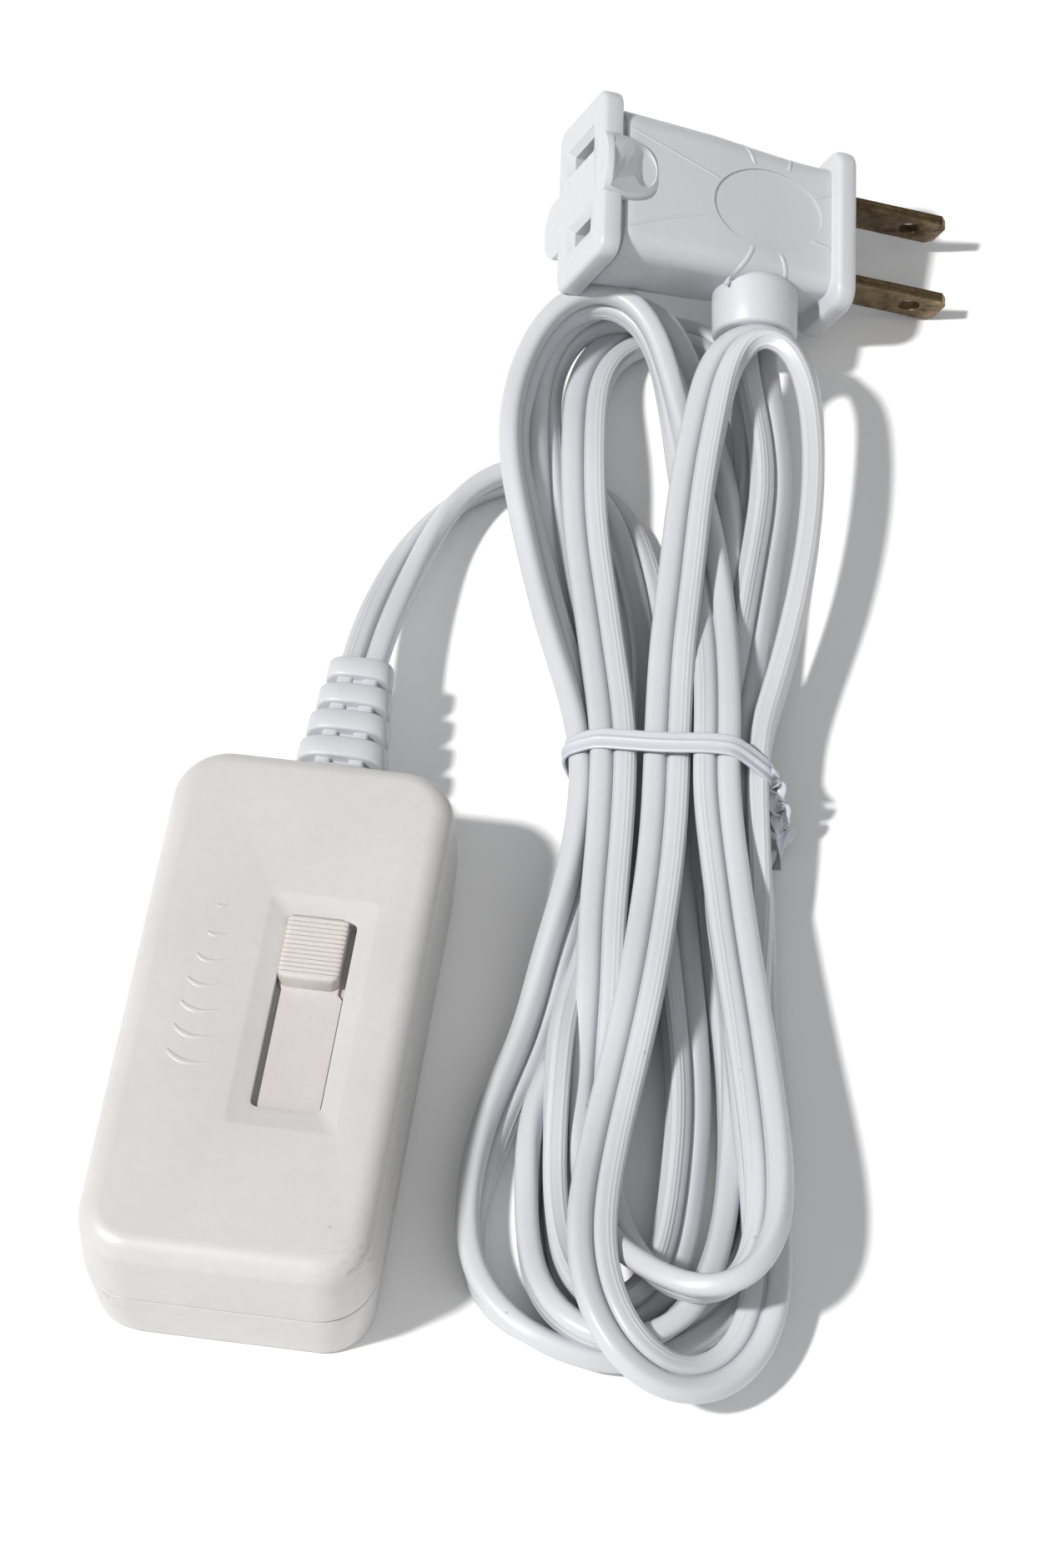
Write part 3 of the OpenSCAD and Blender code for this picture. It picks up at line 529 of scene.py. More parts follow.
def sweep_flat(name, line, wide, thin, section, mat):
    n = len(section)
    S = np.array(section)
    P = line[:, None, :] + S[None, :, 0, None] * wide[:, None, :] + S[None, :, 1, None] * thin[:, None, :]
    verts = (P.reshape(-1, 3) * MM).tolist()
    m = len(line)
    faces = [(k * n + j, k * n + (j + 1) % n, (k + 1) * n + (j + 1) % n, (k + 1) * n + j) for k in range(m - 1) for j in range(n)]
    faces.append(tuple(range(n - 1, -1, -1)))
    faces.append(tuple(range((m - 1) * n, m * n)))
    return make(name, verts, faces, mat, angle=60)


cord_ob = sweep_flat("flat_cord", LINE, WIDE, THIN, cord_section(), "cord")
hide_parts("cord_lead", "cord_hank", "cord_end")


# ---------------------------------------------------------------- twist tie round the waist
def hull2(pts):
    pts = sorted(set((round(x, 5), round(z, 5)) for x, z in pts))

    def half(seq):
        out = []
        for p in seq:
            while len(out) > 1 and (out[-1][0] - out[-2][0]) * (p[1] - out[-2][1]) - (out[-1][1] - out[-2][1]) * (p[0] - out[-2][0]) <= 0:
                out.pop()
            out.append(p)
        return out
    lo, hi = half(pts), half(pts[::-1])
    return lo[:-1] + hi[:-1]


def tie_loop(y, grow):
    """Closed loop round every strand that crosses the plane at y, mm."""
    near = [k for k in range(len(LINE)) if abs(LINE[k][1] - y) < 1.2 and 28 < LINE[k][0] < 64 and LINE[k][1] > 50]
    disc = []
    for k in near:
        for s in (-CORE_R, CORE_R):
            cx, cz = LINE[k][0] + s * WIDE[k][0], LINE[k][2] + s * WIDE[k][2]
            for a in range(24):
                t = math.tau * a / 24
                disc.append((cx + (1.62 + grow) * math.cos(t), cz + (1.62 + grow) * math.sin(t)))
    H = np.array(hull2(disc))
    H = np.vstack([H, H[:1]])
    s = np.r_[0, np.cumsum(np.linalg.norm(np.diff(H, axis=0), axis=1))]
    t = np.linspace(0, s[-1], 161)[:-1]
    L = np.stack([np.interp(t, s, H[:, 0]), np.interp(t, s, H[:, 1])], 1)
    for _ in range(3):
        L = 0.25 * np.roll(L, 1, 0) + 0.5 * L + 0.25 * np.roll(L, -1, 0)
    return L


TIE_Y = 53.2
loop = tie_loop(TIE_Y, 0.12)
start = int(np.argmax(loop[:, 0] + 0.35 * loop[:, 1]))
loop = np.roll(loop, -start, axis=0)
TIE_SEC = [(-1.6, 0.0), (-1.62, 0.3), (-1.4, 0.46), (-1.15, 0.4), (-0.5, 0.34), (-0.3, 0.6), (0.0, 0.72), (0.3, 0.6), (0.5, 0.34),
           (1.15, 0.4), (1.4, 0.46), (1.62, 0.3), (1.6, 0.0)]
nl = len(loop)
tverts, tfaces = [], []
for k in range(nl):
    d = loop[(k + 1) % nl] - loop[k - 1]
    d /= np.linalg.norm(d)
    out = np.array([d[1], -d[0]])
    f = k / nl
    # the band runs a little askew: lower towards the twist on the right
    dy = -1.3 * math.exp(-(min(f, 1 - f) / 0.06) ** 2) - 0.9 * math.exp(-((f - 0.47) / 0.07) ** 2) + 0.2 * math.sin(math.tau * f * 3 + 0.6)
    for sy, so in TIE_SEC:
        tverts.append(((loop[k][0] + so * out[0]) * MM, (TIE_Y + dy + sy) * MM, max(0.02, loop[k][1] + so * out[1]) * MM))
m = len(TIE_SEC)
for k in range(nl):
    for j in range(m):
        q = (j + 1) % m
        tfaces.append((k * m + j, k * m + q, ((k + 1) % nl) * m + q, ((k + 1) % nl) * m + j))


def ribbon(path, rolls, width=1.5, thick=0.3, ridge=0.4):
    """Flat ribbon with a wire down its middle, along path (mm), turned by rolls (degrees)."""
    P = spline(np.array([list(p) + [r] for p, r in zip(path, rolls)], float), 10)
    pts, roll = P[:, :3], P[:, 3]
    T = np.gradient(pts, axis=0)
    T /= np.linalg.norm(T, axis=1)[:, None]
    H = np.cross(T, [0.0, 0.0, 1.0])
    H /= np.linalg.norm(H, axis=1)[:, None]
    U = np.cross(H, T)
    c, s = np.cos(np.radians(roll))[:, None], np.sin(np.radians(roll))[:, None]
    W, N = c * H + s * U, -s * H + c * U
    sec = [(-width, -0.1), (-width, 0.1), (-width * 0.9, thick / 2), (-0.36, thick / 2), (-0.22, ridge), (0, ridge + 0.1), (0.22, ridge),
           (0.36, thick / 2), (width * 0.9, thick / 2), (width, 0.1), (width, -0.1), (width * 0.9, -thick / 2), (0.36, -thick / 2),
           (0, -ridge), (-0.36, -thick / 2), (-width * 0.9, -thick / 2)]
    n = len(sec)
    verts = [tuple((pts[k] + a * W[k] + b * N[k]) * MM) for k in range(len(pts)) for a, b in sec]
    verts = [(x, y, max(z, 0.00003)) for x, y, z in verts]
    faces = [(k * n + j, k * n + (j + 1) % n, (k + 1) * n + (j + 1) % n, (k + 1) * n + j) for k in range(len(pts) - 1) for j in range(n)]
    faces += [tuple(range(n - 1, -1, -1)), tuple(range((len(pts) - 1) * n, len(pts) * n))]
    return verts, faces


ex, ez = loop[0][0] + 0.3, loop[0][1]
pair = []
for side in (0, 180):
    path, rolls = [], []
    for k in range(9):
        f = k / 8
        base = Vector((ex, TIE_Y - 1.0, ez)).lerp(Vector((61.8, 47.6, 5.2)), f)
        th = math.radians(side + 60 + 430 * f)
        r = 0.8
        path.append((base.x + r * math.cos(th), base.y + 0.2 * math.sin(th), base.z + r * math.sin(th)))
        rolls.append(side + 430 * f + 150)
    if side == 0:
        path += [(61.6, 46.0, 4.3), (60.2, 45.6, 3.2), (58.6, 45.2, 2.2)]
        rolls += [rolls[-1] + 30, rolls[-1] + 50, rolls[-1] + 60]
    else:
        path += [(61.9, 45.9, 4.2), (61.7, 44.2, 3.2), (61.6, 42.4, 2.2)]
        rolls += [rolls[-1] + 20, rolls[-1] + 60, rolls[-1] + 80]
    pair.append(ribbon(path, rolls))
tie_parts = [(tverts, tfaces)] + pair
tie_ob = make("twist_tie_band", *joined(tie_parts), "tie", angle=50)
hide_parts("twist_tie")


# ---------------------------------------------------------------- housing
BW, BL, BH, SEAM, CR = 38.5, 79.0, 22.5, 10.6, 7.6
SLOT = (4.7, -0.9, 9.2, 29.0)


def cover_ring(z, grow=0.0, n=12):
    draft = max(0.0, z - SEAM) * 0.0244
    return ring(BW - 2 * draft + 2 * grow, BL - 2 * draft + 2 * grow, CR + grow - draft, z, n)


rings = [cover_ring(SEAM + 0.1, -0.28), cover_ring(SEAM + 0.1, -0.14), cover_ring(SEAM + 0.16, -0.04), cover_ring(SEAM + 0.3, 0)]
rings += [cover_ring(z) for z in (13, 16, BH - 3.1)]
for k in range(1, 13):
    t = math.radians(90 * k / 12)
    rings.append(cover_ring(BH - 3.1 + 3.1 * math.sin(t), -3.1 * (1 - math.cos(t))))
top = make("case_top", *scaled(loft(rings)), "case")
cav = [ring(34.5, 75, 5.6, SEAM - 1, 8), ring(34.2, 74.7, 5.6, 17.5, 8), ring(33, 73.5, 5.2, 20.0, 8), ring(31.4, 72, 4.6, 20.8, 8)]
cut_with(top, helper(*scaled(loft(cav))))


def recess(z, out, r):
    """Ring between the slot (out 0) and the rim of the recess (out 1)."""
    x0, x1 = 0.1 - 2.55 * out, 9.3 + 2.3 * out
    y0, y1 = -15.4 - 3.1 * out, 13.6 + 3.0 * out
    return ring(x1 - x0, y1 - y0, r, z, 6, (x0 + x1) / 2, (y0 + y1) / 2)


well = [recess(19.4, 0.0, 0.9), recess(21.55, 0.0, 0.9), recess(21.68, 0.02, 0.95), recess(21.74, 0.07, 1.0), recess(21.9, 0.3, 1.0),
        recess(22.3, 0.86, 1.1), recess(22.4, 0.98, 1.15), recess(22.46, 1.06, 1.2), recess(22.51, 1.18, 1.3), recess(23.4, 2.2, 1.6)]
cut_with(top, helper(*scaled(loft(well))))
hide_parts("top_cover")


def crescent(xa, ya, xb, yb, sag, wide, high=0.17):
    """Raised sliver from its thick left end to its fine right end, hanging down like a smile."""
    n, m = 16, 7
    verts, faces = [], []
    ax, ay = np.array([xa, ya]), np.array([xb, yb])
    d = (ay - ax) / np.linalg.norm(ay - ax)
    side = np.array([-d[1], d[0]])
    for k in range(n + 1):
        f = k / n
        c = ax + (ay - ax) * f - side * sag * 2.9 * f * (1 - f) * (1.2 - 0.4 * f)
        w = wide * (0.35 + 0.65 * math.sin(math.pi * min(1, 0.12 + f * 0.9)) ** 0.7) * (1 - 0.55 * f)
        h = high * (1 - 0.45 * f)
        for j in range(m):
            t = math.pi * j / (m - 1)
            p = c + side * w * 0.5 * math.cos(t)
            verts.append((p[0] * MM, p[1] * MM, (BH - 0.04 + h * math.sin(t)) * MM))
    for k in range(n):
        for j in range(m - 1):
            a = k * m + j
            faces.append((a, a + 1, a + m + 1, a + m))
        faces.append((k * m, (k + 1) * m, (k + 1) * m + m - 1, k * m + m - 1))
    faces.append(tuple(range(m - 1, -1, -1)))
    faces.append(tuple(range(n * m, (n + 1) * m)))
    return verts, faces


marks = []
for xa, ya, xb, yb, sag, w in (
        (-9.9, 9.3, -7.4, 9.5, 0.55, 0.95), (-10.6, 5.7, -7.1, 5.3, 0.8, 0.95), (-11.2, 2.0, -6.9, 1.6, 1.0, 1.0),
        (-11.4, -1.7, -6.4, -2.3, 1.1, 1.05), (-11.6, -5.4, -6.1, -6.3, 1.2, 1.1), (-11.8, -9.2, -5.6, -10.2, 1.3, 1.15)):
    marks.append(crescent(xa, ya, xb, yb, sag, w))
marks.append(crescent(-9.4, 13.6, -8.2, 13.8, 0.2, 0.8, 0.16))
mk = make("level_marks", *joined(marks), "case", angle=70)


def base_ring(z, grow=0.0, n=12):
    inset = (SEAM - z) * 0.0928
    return ring(BW - 2 * inset + 2 * grow, BL - 2 * inset + 2 * grow, CR - inset + grow, z, n)


rings = []
for k in range(0, 7):
    t = math.radians(90 * k / 6)
    rings.append(base_ring(1.0 - math.cos(t), -1.0 * (1 - math.sin(t))))
rings += [base_ring(4), base_ring(7.5), base_ring(SEAM - 0.36), base_ring(SEAM - 0.2, -0.05), base_ring(SEAM - 0.14, -0.2), base_ring(SEAM - 0.14, -0.34)]
base = make("case_base", *scaled(loft(rings)), "case_low")
cav = [ring(32.4, 73, 5, 2.0, 8), ring(33.6, 74.2, 5.4, 2.8, 8), ring(34.5, 75, 5.6, SEAM + 1, 8)]
cut_with(base, helper(*scaled(loft(cav))))
for sx in (-1, 1):
    for sy in (-1, 1):
        bore = []
        for z, r in ((-0.5, 3.1), (0.0, 2.75), (0.3, 2.5), (4.0, 2.5)):
            bore.append([(sx * 13.6 + r * math.cos(math.tau * k / 40), sy * 32.6 + r * math.sin(math.tau * k / 40), z) for k in range(40)])
        cut_with(base, helper(*scaled(loft(bore))))
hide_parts("base_cover")

# slider knob: ribbed across, chamfered corners
KX, KY, KW, KL, K0, K1 = 4.3, 8.48, 8.1, 10.0, 20.6, 22.95
ribs = 13
prof = []   # (y, z) along the top, mm
y0, y1 = KY - KL / 2, KY + KL / 2
prof.append((y0, K0))
prof.append((y0 - 0.0, K0 + 0.3))
prof.append((y0 + 0.05, K1 - 0.45))
prof.append((y0 + 0.22, K1 - 0.12))
span0, span1 = y0 + 0.5, y1 - 0.35
for k in range(ribs * 8 + 1):
    f = k / (ribs * 8)
    y = span0 + (span1 - span0) * f
    s = 0.5 - 0.5 * math.cos(math.tau * f * ribs)
    prof.append((y, K1 - 0.08 + 0.26 * s ** 1.2 + 0.12 * (2 * f - 1) ** 2))
prof.append((y1 - 0.12, K1 - 0.12))
prof.append((y1, K1 - 0.5))
prof.append((y1, K0))
cols = []
for dx, dz, dy in ((-KW / 2, -0.45, 0.9), (-KW / 2, -0.22, 0.9), (-KW / 2 + 0.12, -0.08, 0.75), (-KW / 2 + 0.5, 0, 0.38), (-KW / 2 + 0.95, 0, 0.0),
                   (0, 0, 0), (KW / 2 - 0.95, 0, 0.0), (KW / 2 - 0.5, 0, 0.38), (KW / 2 - 0.12, -0.08, 0.75), (KW / 2, -0.22, 0.9), (KW / 2, -0.45, 0.9)):
    row = []
    for y, z in prof:
        yy = min(max(y, y0 + dy), y1 - dy)
        zz = z + (dz if z > K0 + 0.5 else 0)
        row.append(((KX + dx), yy, zz))
    cols.append(row)
kn = len(prof)
kv = [tuple(c * MM for c in p) for row in cols for p in row]
kf = [(i * kn + j, i * kn + j + 1, (i + 1) * kn + j + 1, (i + 1) * kn + j) for i in range(len(cols) - 1) for j in range(kn - 1)]
kf.append(tuple(range(kn)))
kf.append(tuple(range((len(cols) - 1) * kn, len(cols) * kn))[::-1])
kf.append(tuple(i * kn for i in range(len(cols)))[::-1])
kf.append(tuple(i * kn + kn - 1 for i in range(len(cols))))
me_cols = [i * kn for i in range(len(cols))]
kf = kf[:-2]
kf.append(tuple([i * kn for i in range(len(cols))] + [i * kn + kn - 1 for i in reversed(range(len(cols)))]))
knob = make("knob_grip", kv, kf, "knob", body="slider", angle=45)
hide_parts("slider_knob")


# shutter: thin full-width plate with the raised panel that shows in the slot
SH0, SH1 = 19.4, 20.6
low = loft([ring(11.0, 49, 1, z, 5, 4.7, 8.2) for z in (SH0, 20.0)])
x0, x1 = 0.85, 9.12
yb, yk0, yk1, yt = 8.2 - 24.3, 3.1, 13.3, 8.2 + 24.3
outline = [(x0 + 0.5, yb), (x1 - 0.5, yb), (x1, yb + 0.5), (x1, yk0 - 0.7), (x1 - 0.7, yk0), (8.4, yk0), (8.4, yk1), (x1, yk1), (x1, yt - 0.5), (x1 - 0.5, yt),
           (x0 + 0.5, yt), (x0, yt - 0.5), (x0, yk1), (0.3, yk1), (0.3, yk0 + 0.9), (x0, yk0), (x0, yb + 0.5)]
up_v = [(x, y, z) for z in (19.6, SH1 - 0.12) for x, y in outline]
cx_, cy_ = 5.0, 8.2
up_v += [(x + (0.1 if x < cx_ else -0.1), y + (0.1 if y < cy_ - 20 else -0.1 if y > cy_ + 20 else 0), SH1) for x, y in outline]
no = len(outline)
up_f = [(k * no + j, k * no + (j + 1) % no, (k + 1) * no + (j + 1) % no, (k + 1) * no + j) for k in range(2) for j in range(no)]
up_f += [tuple(range(no - 1, -1, -1)), tuple(range(2 * no, 3 * no))]
shut = make("shutter_plate", *scaled(joined([low, (up_v, up_f)])), "shutter", body="slider", angle=30)
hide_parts("slider_shutter")


# ---------------------------------------------------------------- strain relief
def oval(y, rx, rz, n=40, cx=1.1, cz=10.6, e=2.5):
    pts = []
    for k in range(n):
        t = math.tau * k / n
        c, s = math.cos(t), math.sin(t)
        q = (abs(c) ** e + abs(s) ** e) ** (-1 / e)
        pts.append((cx + rx * c * q, y, cz + rz * s * q))
    return pts


rel = [oval(38.8, 4.6, 4.1, e=2.1)]
webs = []
for i in range(5):
    k = i / 4
    yc = 41.4 + 19.1 * k
    rx, rz = (13.6 - 4.4 * k) / 2, (9.6 - 3 * k) / 2
    cx_, cz_ = rx - 2.0 + 0.5 * k, rz - 1.7 + 0.5 * k
    half = 1.72 - 0.06 * k
    rel += [oval(yc - half - 0.02, cx_, cz_), oval(yc - half, cx_ + 0.2, cz_ + 0.2), oval(yc - half + 0.02, rx - 0.4, rz - 0.4, e=3.2),
            oval(yc - half + 0.1, rx - 0.14, rz - 0.14, e=3.2), oval(yc - half + 0.32, rx, rz, e=3.2), oval(yc, rx + 0.02, rz + 0.02, e=3.2),
            oval(yc + half - 0.32, rx - 0.04, rz - 0.04, e=3.2), oval(yc + half - 0.1, rx - 0.18, rz - 0.18, e=3.2),
            oval(yc + half - 0.02, rx - 0.44, rz - 0.44, e=3.2), oval(yc + half, cx_ + 0.2, cz_ + 0.2), oval(yc + half + 0.02, cx_, cz_)]
    if i < 4:
        for sx in (-0.34, 0.34):
            wx = 1.1 + sx * rx
            webs.append(loft([ring(2.2, 2 * (rz - 1.05 - 0.12 * f), 0.5, yc + half - 0.3 + f * 2.2, 3) for f in (0, 1)]))
            v_, f_ = webs[-1]
            webs[-1] = ([(wx + x, z, 10.6 + y) for x, y, z in v_], f_)
rel += [oval(62.1, 3.6, 2.2), oval(62.12, 3.4, 1.9)]
relief = make("relief_sleeve", *scaled(joined([loft(rel)] + webs)), "relief", angle=50)
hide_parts("strain_relief")

# ---------------------------------------------------------------- plug and receptacle
PO = np.array([57.6, 147.2, 11.0])
PA = np.array([0.898685, 0.199234, -0.390731])
PB = np.array([-0.110334, 0.964918, 0.238244])
PC = np.array([0.42449, -0.170996, 0.88914])


def plug_at(u, v, w):
    return tuple((PO + u * PA + v * PB + w * PC) * MM)


def plugged(vf):
    """Faces with points (v, w, u) from ring() sections, set in the plug's own axes."""
    return [plug_at(p[2], p[0], p[1]) for p in vf[0]], vf[1]


BODY = [(-36.6, 23.6, 14.9, 3.6), (-30, 23.1, 14.5, 3.5), (-22, 22.4, 13.9, 3.3), (-16, 21.5, 12.9, 3.1), (-11, 20.9, 11.9, 2.9),
        (-7, 20.5, 11.3, 2.7), (-3.3, 20.5, 11.2, 2.6)]


def size_at(u):
    us = [b[0] for b in BODY]
    return [float(np.interp(u, us, [b[k] for b in BODY])) for k in (1, 2, 3)]


def top_w(u, v):
    sv, sw, r = size_at(u)
    over = abs(v) - (sv / 2 - r)
    if over <= 0:
        return sw / 2
    return sw / 2 - r + math.sqrt(max(0.0, r * r - min(over, r) ** 2))


N = 9
secs = []


def sec(u, sv, sw, r):
    secs.append(ring(sv, sw, r, u, N))


sec(-41.0, 24.9, 15.6, 1.9)
sec(-40.93, 25.5, 16.2, 2.1)
sec(-40.7, 26.2, 16.9, 2.3)
sec(-40.3, 26.5, 17.2, 2.4)
sec(-38.5, 26.5, 17.2, 2.4)
sec(-38.0, 26.2, 16.9, 2.3)
sec(-37.8, 25.6, 16.3, 2.2)
sec(-37.74, 23.6, 14.6, 2.6)
sec(-37.7, 22.3, 13.5, 2.8)
sec(-36.95, 22.2, 13.4, 2.8)
sec(-36.9, 22.9, 14.1, 3.2)
sec(-36.78, 23.4, 14.7, 3.5)
for k in range(25):
    u = -36.5 + k * (33.1 / 24)
    sv, sw, r = size_at(u)
    sec(u, sv, sw, r)
sec(-3.25, 20.9, 11.6, 2.7)
sec(-3.12, 22.0, 12.4, 2.8)
sec(-3.06, 24.0, 13.4, 2.7)
sec(-2.9, 25.0, 14.2, 2.8)
sec(-2.5, 25.5, 14.7, 3.0)
sec(-2.2, 25.6, 14.8, 3.0)
sec(-1.0, 25.6, 14.8, 3.0)
sec(-0.5, 25.4, 14.6, 2.9)
sec(-0.15, 24.9, 14.1, 2.7)
sec(0.0, 24.2, 13.4, 2.5)
plug = make("plug_shell", *plugged(loft(secs)), "plug", angle=40)

# receptacle slots with sloped mouths
for v0, tall in ((6.35, 8.2), (-6.35, 7.0)):
    mouth = [ring(2.4, tall, 0.25, -33.0, 3, v0, 0), ring(2.4, tall, 0.25, -40.1, 3, v0, 0), ring(4.4, tall + 2.0, 0.5, -41.0, 3, v0, 0),
             ring(4.7, tall + 2.3, 0.5, -41.6, 3, v0, 0)]
    cut_with(plug, helper(*plugged(loft(mouth))))

# shallow oval panel on the broad face
panel = []
ME = 64


def oval_uv(f, k):
    x, y = 8.9 * f * math.cos(math.tau * k / ME), 6.4 * f * math.sin(math.tau * k / ME)
    return -13.9 + x * 0.9945 - y * 0.1045, 0.1 + x * 0.1045 + y * 0.9945


for off in (-0.25, 2.0):
    panel.append([plug_at(*oval_uv(1, k), top_w(*oval_uv(1, k)) + off) for k in range(ME)])
inner = []
for f in (0.8, 0.55, 0.3, 0.05):
    inner.append([plug_at(*oval_uv(f, k), top_w(*oval_uv(f, k)) - 0.25) for k in range(ME)])
cut_with(plug, helper(*loft(inner[::-1] + panel)))


def ridge(path, width=0.6, high=0.15):
    """Fine raised line across the moulded body, following its surface."""
    P = spline(np.array(path, float) - (0.0, 0.98), 10)
    P = resample(np.c_[P, np.zeros(len(P))], 0.35)[:, :2]
    T = np.gradient(P, axis=0)
    T /= np.linalg.norm(T, axis=1)[:, None]
    verts, faces = [], []
    offs = ((-0.5, -0.25), (-0.5, -0.02), (-0.28, 0.7), (0.0, 1.0), (0.28, 0.7), (0.5, -0.02), (0.5, -0.25))
    n = len(offs)
    for k in range(len(P)):
        fade = min(1.0, 0.25 + min(k, len(P) - 1 - k) * 0.4)
        for so, sh in offs:
            u, v = P[k][0] - T[k][1] * so * width, P[k][1] + T[k][0] * so * width
            verts.append(plug_at(u, v, top_w(u, v) + (sh * high * 0.62 * fade if sh > 0 else sh)))
    for k in range(len(P) - 1):
        for j in range(n):
            faces.append((k * n + j, k * n + (j + 1) % n, (k + 1) * n + (j + 1) % n, (k + 1) * n + j))
    faces.append(tuple(range(n - 1, -1, -1)))
    faces.append(tuple(range((len(P) - 1) * n, len(P) * n)))
    return verts, faces


lines = [ridge([(-36.4, 8.9), (-29, 6.4), (-22.0, 4.1)], 0.5, 0.17), ridge([(-36.4, -7.0), (-30.2, -4.3), (-24.0, -2.3)], 0.45, 0.1),
         ridge([(-18.0, 11.9), (-17.2, 10.4), (-16.1, 7.9)], 0.7, 0.24), ridge([(-9.8, 11.0), (-10.5, 8.2)], 0.7, 0.24),
         ridge([(-6.3, 4.9), (-3.2, 6.2)], 0.6, 0.15), ridge([(-6.6, -2.2), (-3.2, -2.9)], 0.7, 0.2),
         ridge([(-16.2, -5.4), (-17.3, -7.9), (-19.2, -10.9)], 0.8, 0.28), ridge([(-11.6, -5.6), (-10.8, -7.6), (-10.2, -10.0)], 0.8, 0.28)]
seams = make("plug_mould_lines", *joined(lines), "plug", angle=75)

# finger grips: a scooped cup on each broad side, growing out of the end plate
for sgn, tag, gv, tall in ((1, "upper", 0.9, 3.2), (-1, "lower", -1.6, 6.2)):
    def slope(u):
        """Height of the sloping face of the grip above the broad side."""
        return 7.5 + tall * (1 - min(1.0, max(0.0, (u + 38.6) / 7.4))) - 0.45 * min(1.0, max(0.0, (u + 38.6) / 7.4))

    def crown(u, v):
        """The sloping face, rounded off towards both ends of the grip."""
        d = min(1.0, abs(v - gv) / 5.25)
        return 7.2 + (slope(u) - 7.2) * (1 - d ** 2.4) ** 0.5

    cup = []
    for w, grow, ru, rv in ((5.0, 0, 6.6, 4.8), (6.6, 0, 6.7, 4.9), (0, 0.75, 6.8, 5.0), (0, 0.25, 6.7, 4.95), (0, 0.06, 6.5, 4.8), (0, 0.0, 6.2, 4.5)):
        row = []
        for k in range(72):
            u = max(-40.97 + max(0.0, 0.5 * (ru < 6.55)) + 0.4 * (ru < 6.3), -38.0 + ru * math.cos(math.tau * k / 72))
            v = gv + rv * math.sin(math.tau * k / 72)
            row.append((u, v, sgn * (w if w else max(6.7, crown(u, v) - grow))))
        cup.append(row)
    v_, f_ = loft(cup)
    grip = make("finger_grip_" + tag, [plug_at(*p) for p in v_], f_, "plug", angle=40)
    dish = []
    for dz, f in ((-1.3, 0.12), (-1.27, 0.4), (-1.1, 0.65), (-0.75, 0.84), (-0.25, 0.97), (0.05, 1.02), (1.5, 1.12)):
        row = []
        for k in range(56):
            u = -34.6 + 2.5 * f * math.cos(math.tau * k / 56)
            v = gv + 0.5 + 3.3 * f * math.sin(math.tau * k / 56)
            row.append((u, v, sgn * (crown(u, v) + dz)))
        dish.append(row)
    v_, f_ = loft(dish)
    cut_with(grip, helper([plug_at(*p) for p in v_], f_))

# round collar where the cord goes in
col = []
for v, r in ((-7.0, 4.6), (-9.2, 5.2), (-9.75, 5.7), (-10.15, 6.1), (-10.7, 6.28), (-11.4, 6.3), (-17.2, 6.2), (-17.6, 6.05), (-17.8, 5.7), (-17.82, 4.0), (-17.3, 3.6), (-15.0, 3.4)):
    col.append([plug_at(-13 + r * math.cos(math.tau * k / 56), v, 0.0 + r * math.sin(math.tau * k / 56)) for k in range(56)])
collar = make("plug_collar", *loft(col), "plug", angle=40)
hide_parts("plug_body")

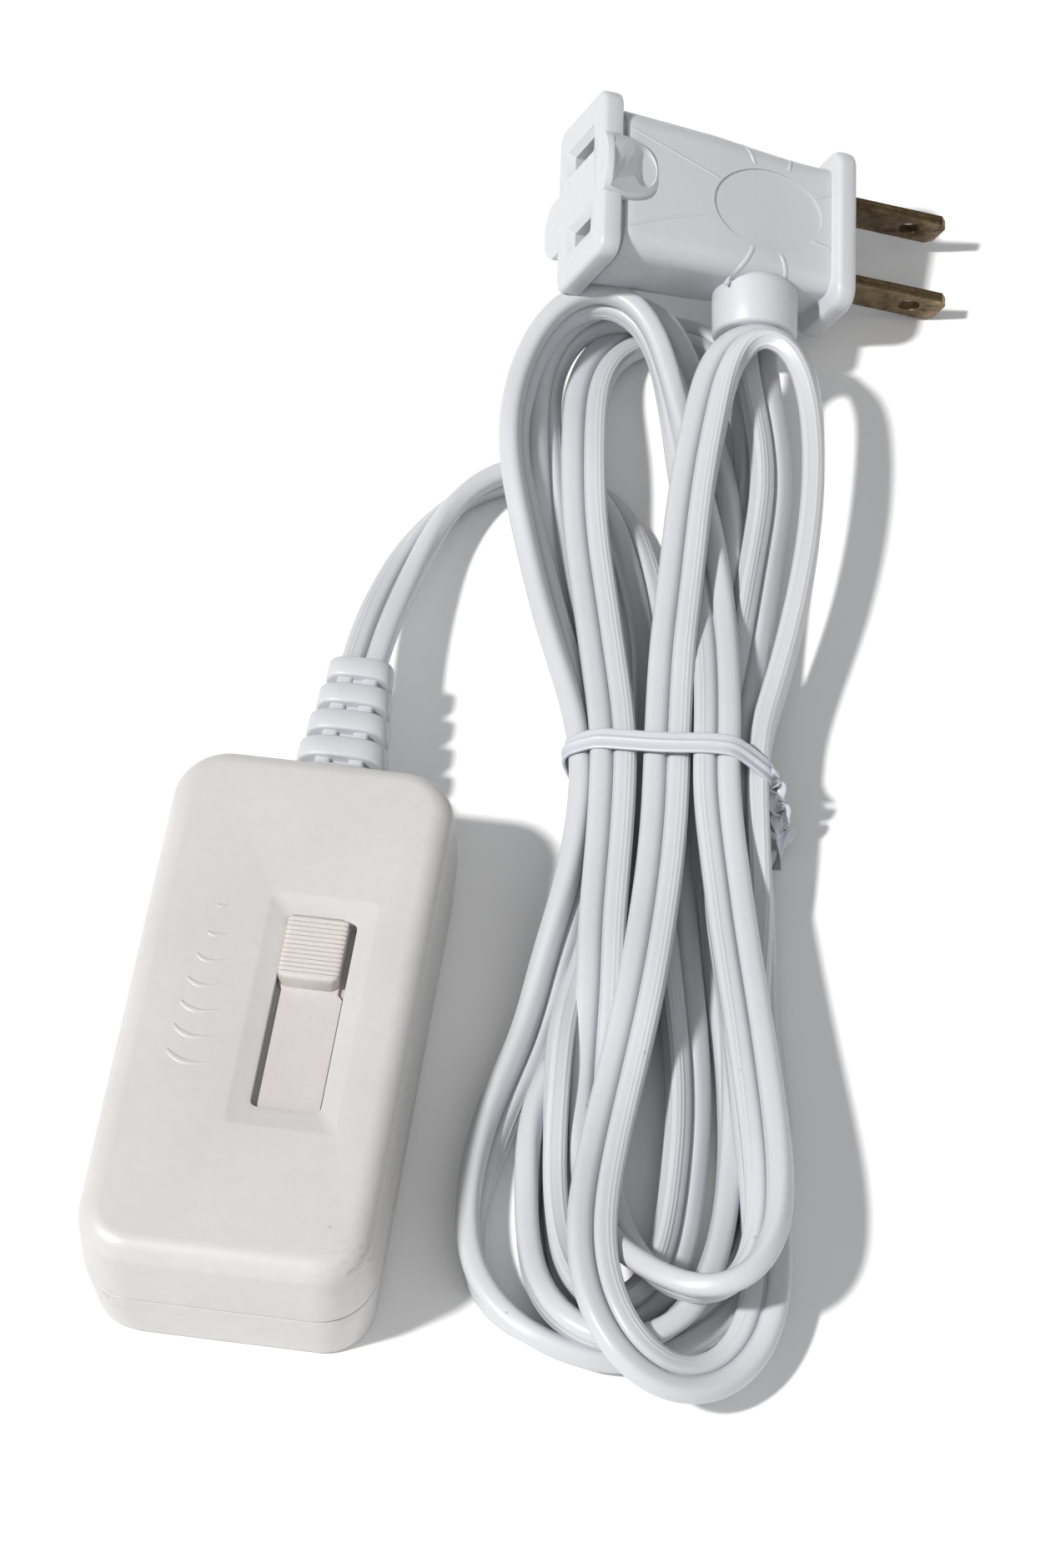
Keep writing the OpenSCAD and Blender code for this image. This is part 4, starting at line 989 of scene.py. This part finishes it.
# blades: folded brass strip, two leaves each
for v0, node in ((6.35, "blade_far"), (-6.35, "blade_near")):
    verts, faces = [], []
    for leaf in (-1, 1):
        cu = bpy.data.curves.new("leaf", "CURVE")
        cu.dimensions = "2D"
        cu.fill_mode = "BOTH"
        cu.extrude = 0.30 * MM
        cu.bevel_depth = 0.07 * MM
        cu.bevel_resolution = 2
        out = [(-2.5, -3.1), (15.9, -3.1), (16.9, -2.0), (16.9, 2.0), (15.9, 3.1), (-2.5, 3.1)]
        hole = [(11.9 + 1.67 * math.cos(math.tau * k / 32), 1.67 * math.sin(math.tau * k / 32)) for k in range(32)]
        for loop_pts in (out, hole):
            sp = cu.splines.new("POLY")
            sp.points.add(len(loop_pts) - 1)
            for k, (x, y) in enumerate(loop_pts):
                sp.points[k].co = (x * MM, y * MM, 0, 1)
            sp.use_cyclic_u = True
        tmp = bpy.data.objects.new("leaf", cu)
        scene.collection.objects.link(tmp)
        me = bpy.data.meshes.new_from_object(tmp.evaluated_get(bpy.context.evaluated_depsgraph_get()))
        bpy.data.objects.remove(tmp)
        k0 = len(verts)
        for q in me.vertices:
            x, y, z = (c / MM for c in q.co)
            verts.append(plug_at(x, v0 + leaf * 0.385 + z, y))
        faces += [tuple(i + k0 for i in pl.vertices) for pl in me.polygons]
    bl = make("brass_" + node, verts, faces, "blade", angle=35)
    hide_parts(node)

# ---------------------------------------------------------------- floor and light
fm, nt, b = mat_new("floor_paper")
vec = coords(nt)
nt.links.new(ramp(nt, noise(nt, vec, 9, 3), [(0.3, 0.93), (0.7, 0.95)]), b.inputs["Base Color"])
nt.links.new(ramp(nt, noise(nt, vec, 60, 3), [(0.3, 0.8), (0.7, 0.9)]), b.inputs["Roughness"])
b.inputs["Specular IOR Level"].default_value = 0.1
me = bpy.data.meshes.new("floor")
me.from_pydata([(-4, -4, 0), (4, -4, 0), (4, 4, 0), (-4, 4, 0)], [], [(0, 1, 2, 3)])
floor = bpy.data.objects.new("floor", me)
scene.collection.objects.link(floor)
me.materials.append(fm)

sun_data = bpy.data.lights.new("key", "SUN")
sun_data.energy = 3.5
sun_data.angle = math.radians(5)
sun_data.color = (1.0, 0.99, 0.975)
sun = bpy.data.objects.new("key", sun_data)
sun.rotation_euler = Vector((0.635, 0.39, -1.0)).to_track_quat("-Z", "Y").to_euler()
scene.collection.objects.link(sun)
fill_data = bpy.data.lights.new("fill", "SUN")
fill_data.energy = 0.72
fill_data.angle = math.radians(70)
fill = bpy.data.objects.new("fill", fill_data)
fill.rotation_euler = Vector((-0.42, 0.5, -0.76)).to_track_quat("-Z", "Y").to_euler()
scene.collection.objects.link(fill)
world = bpy.data.worlds.new("studio")
world.use_nodes = True
bg = world.node_tree.nodes["Background"]
bg.inputs[0].default_value = (0.975, 0.985, 1.0, 1)
bg.inputs[1].default_value = 0.22
scene.world = world
scene.view_settings.view_transform = "Standard"
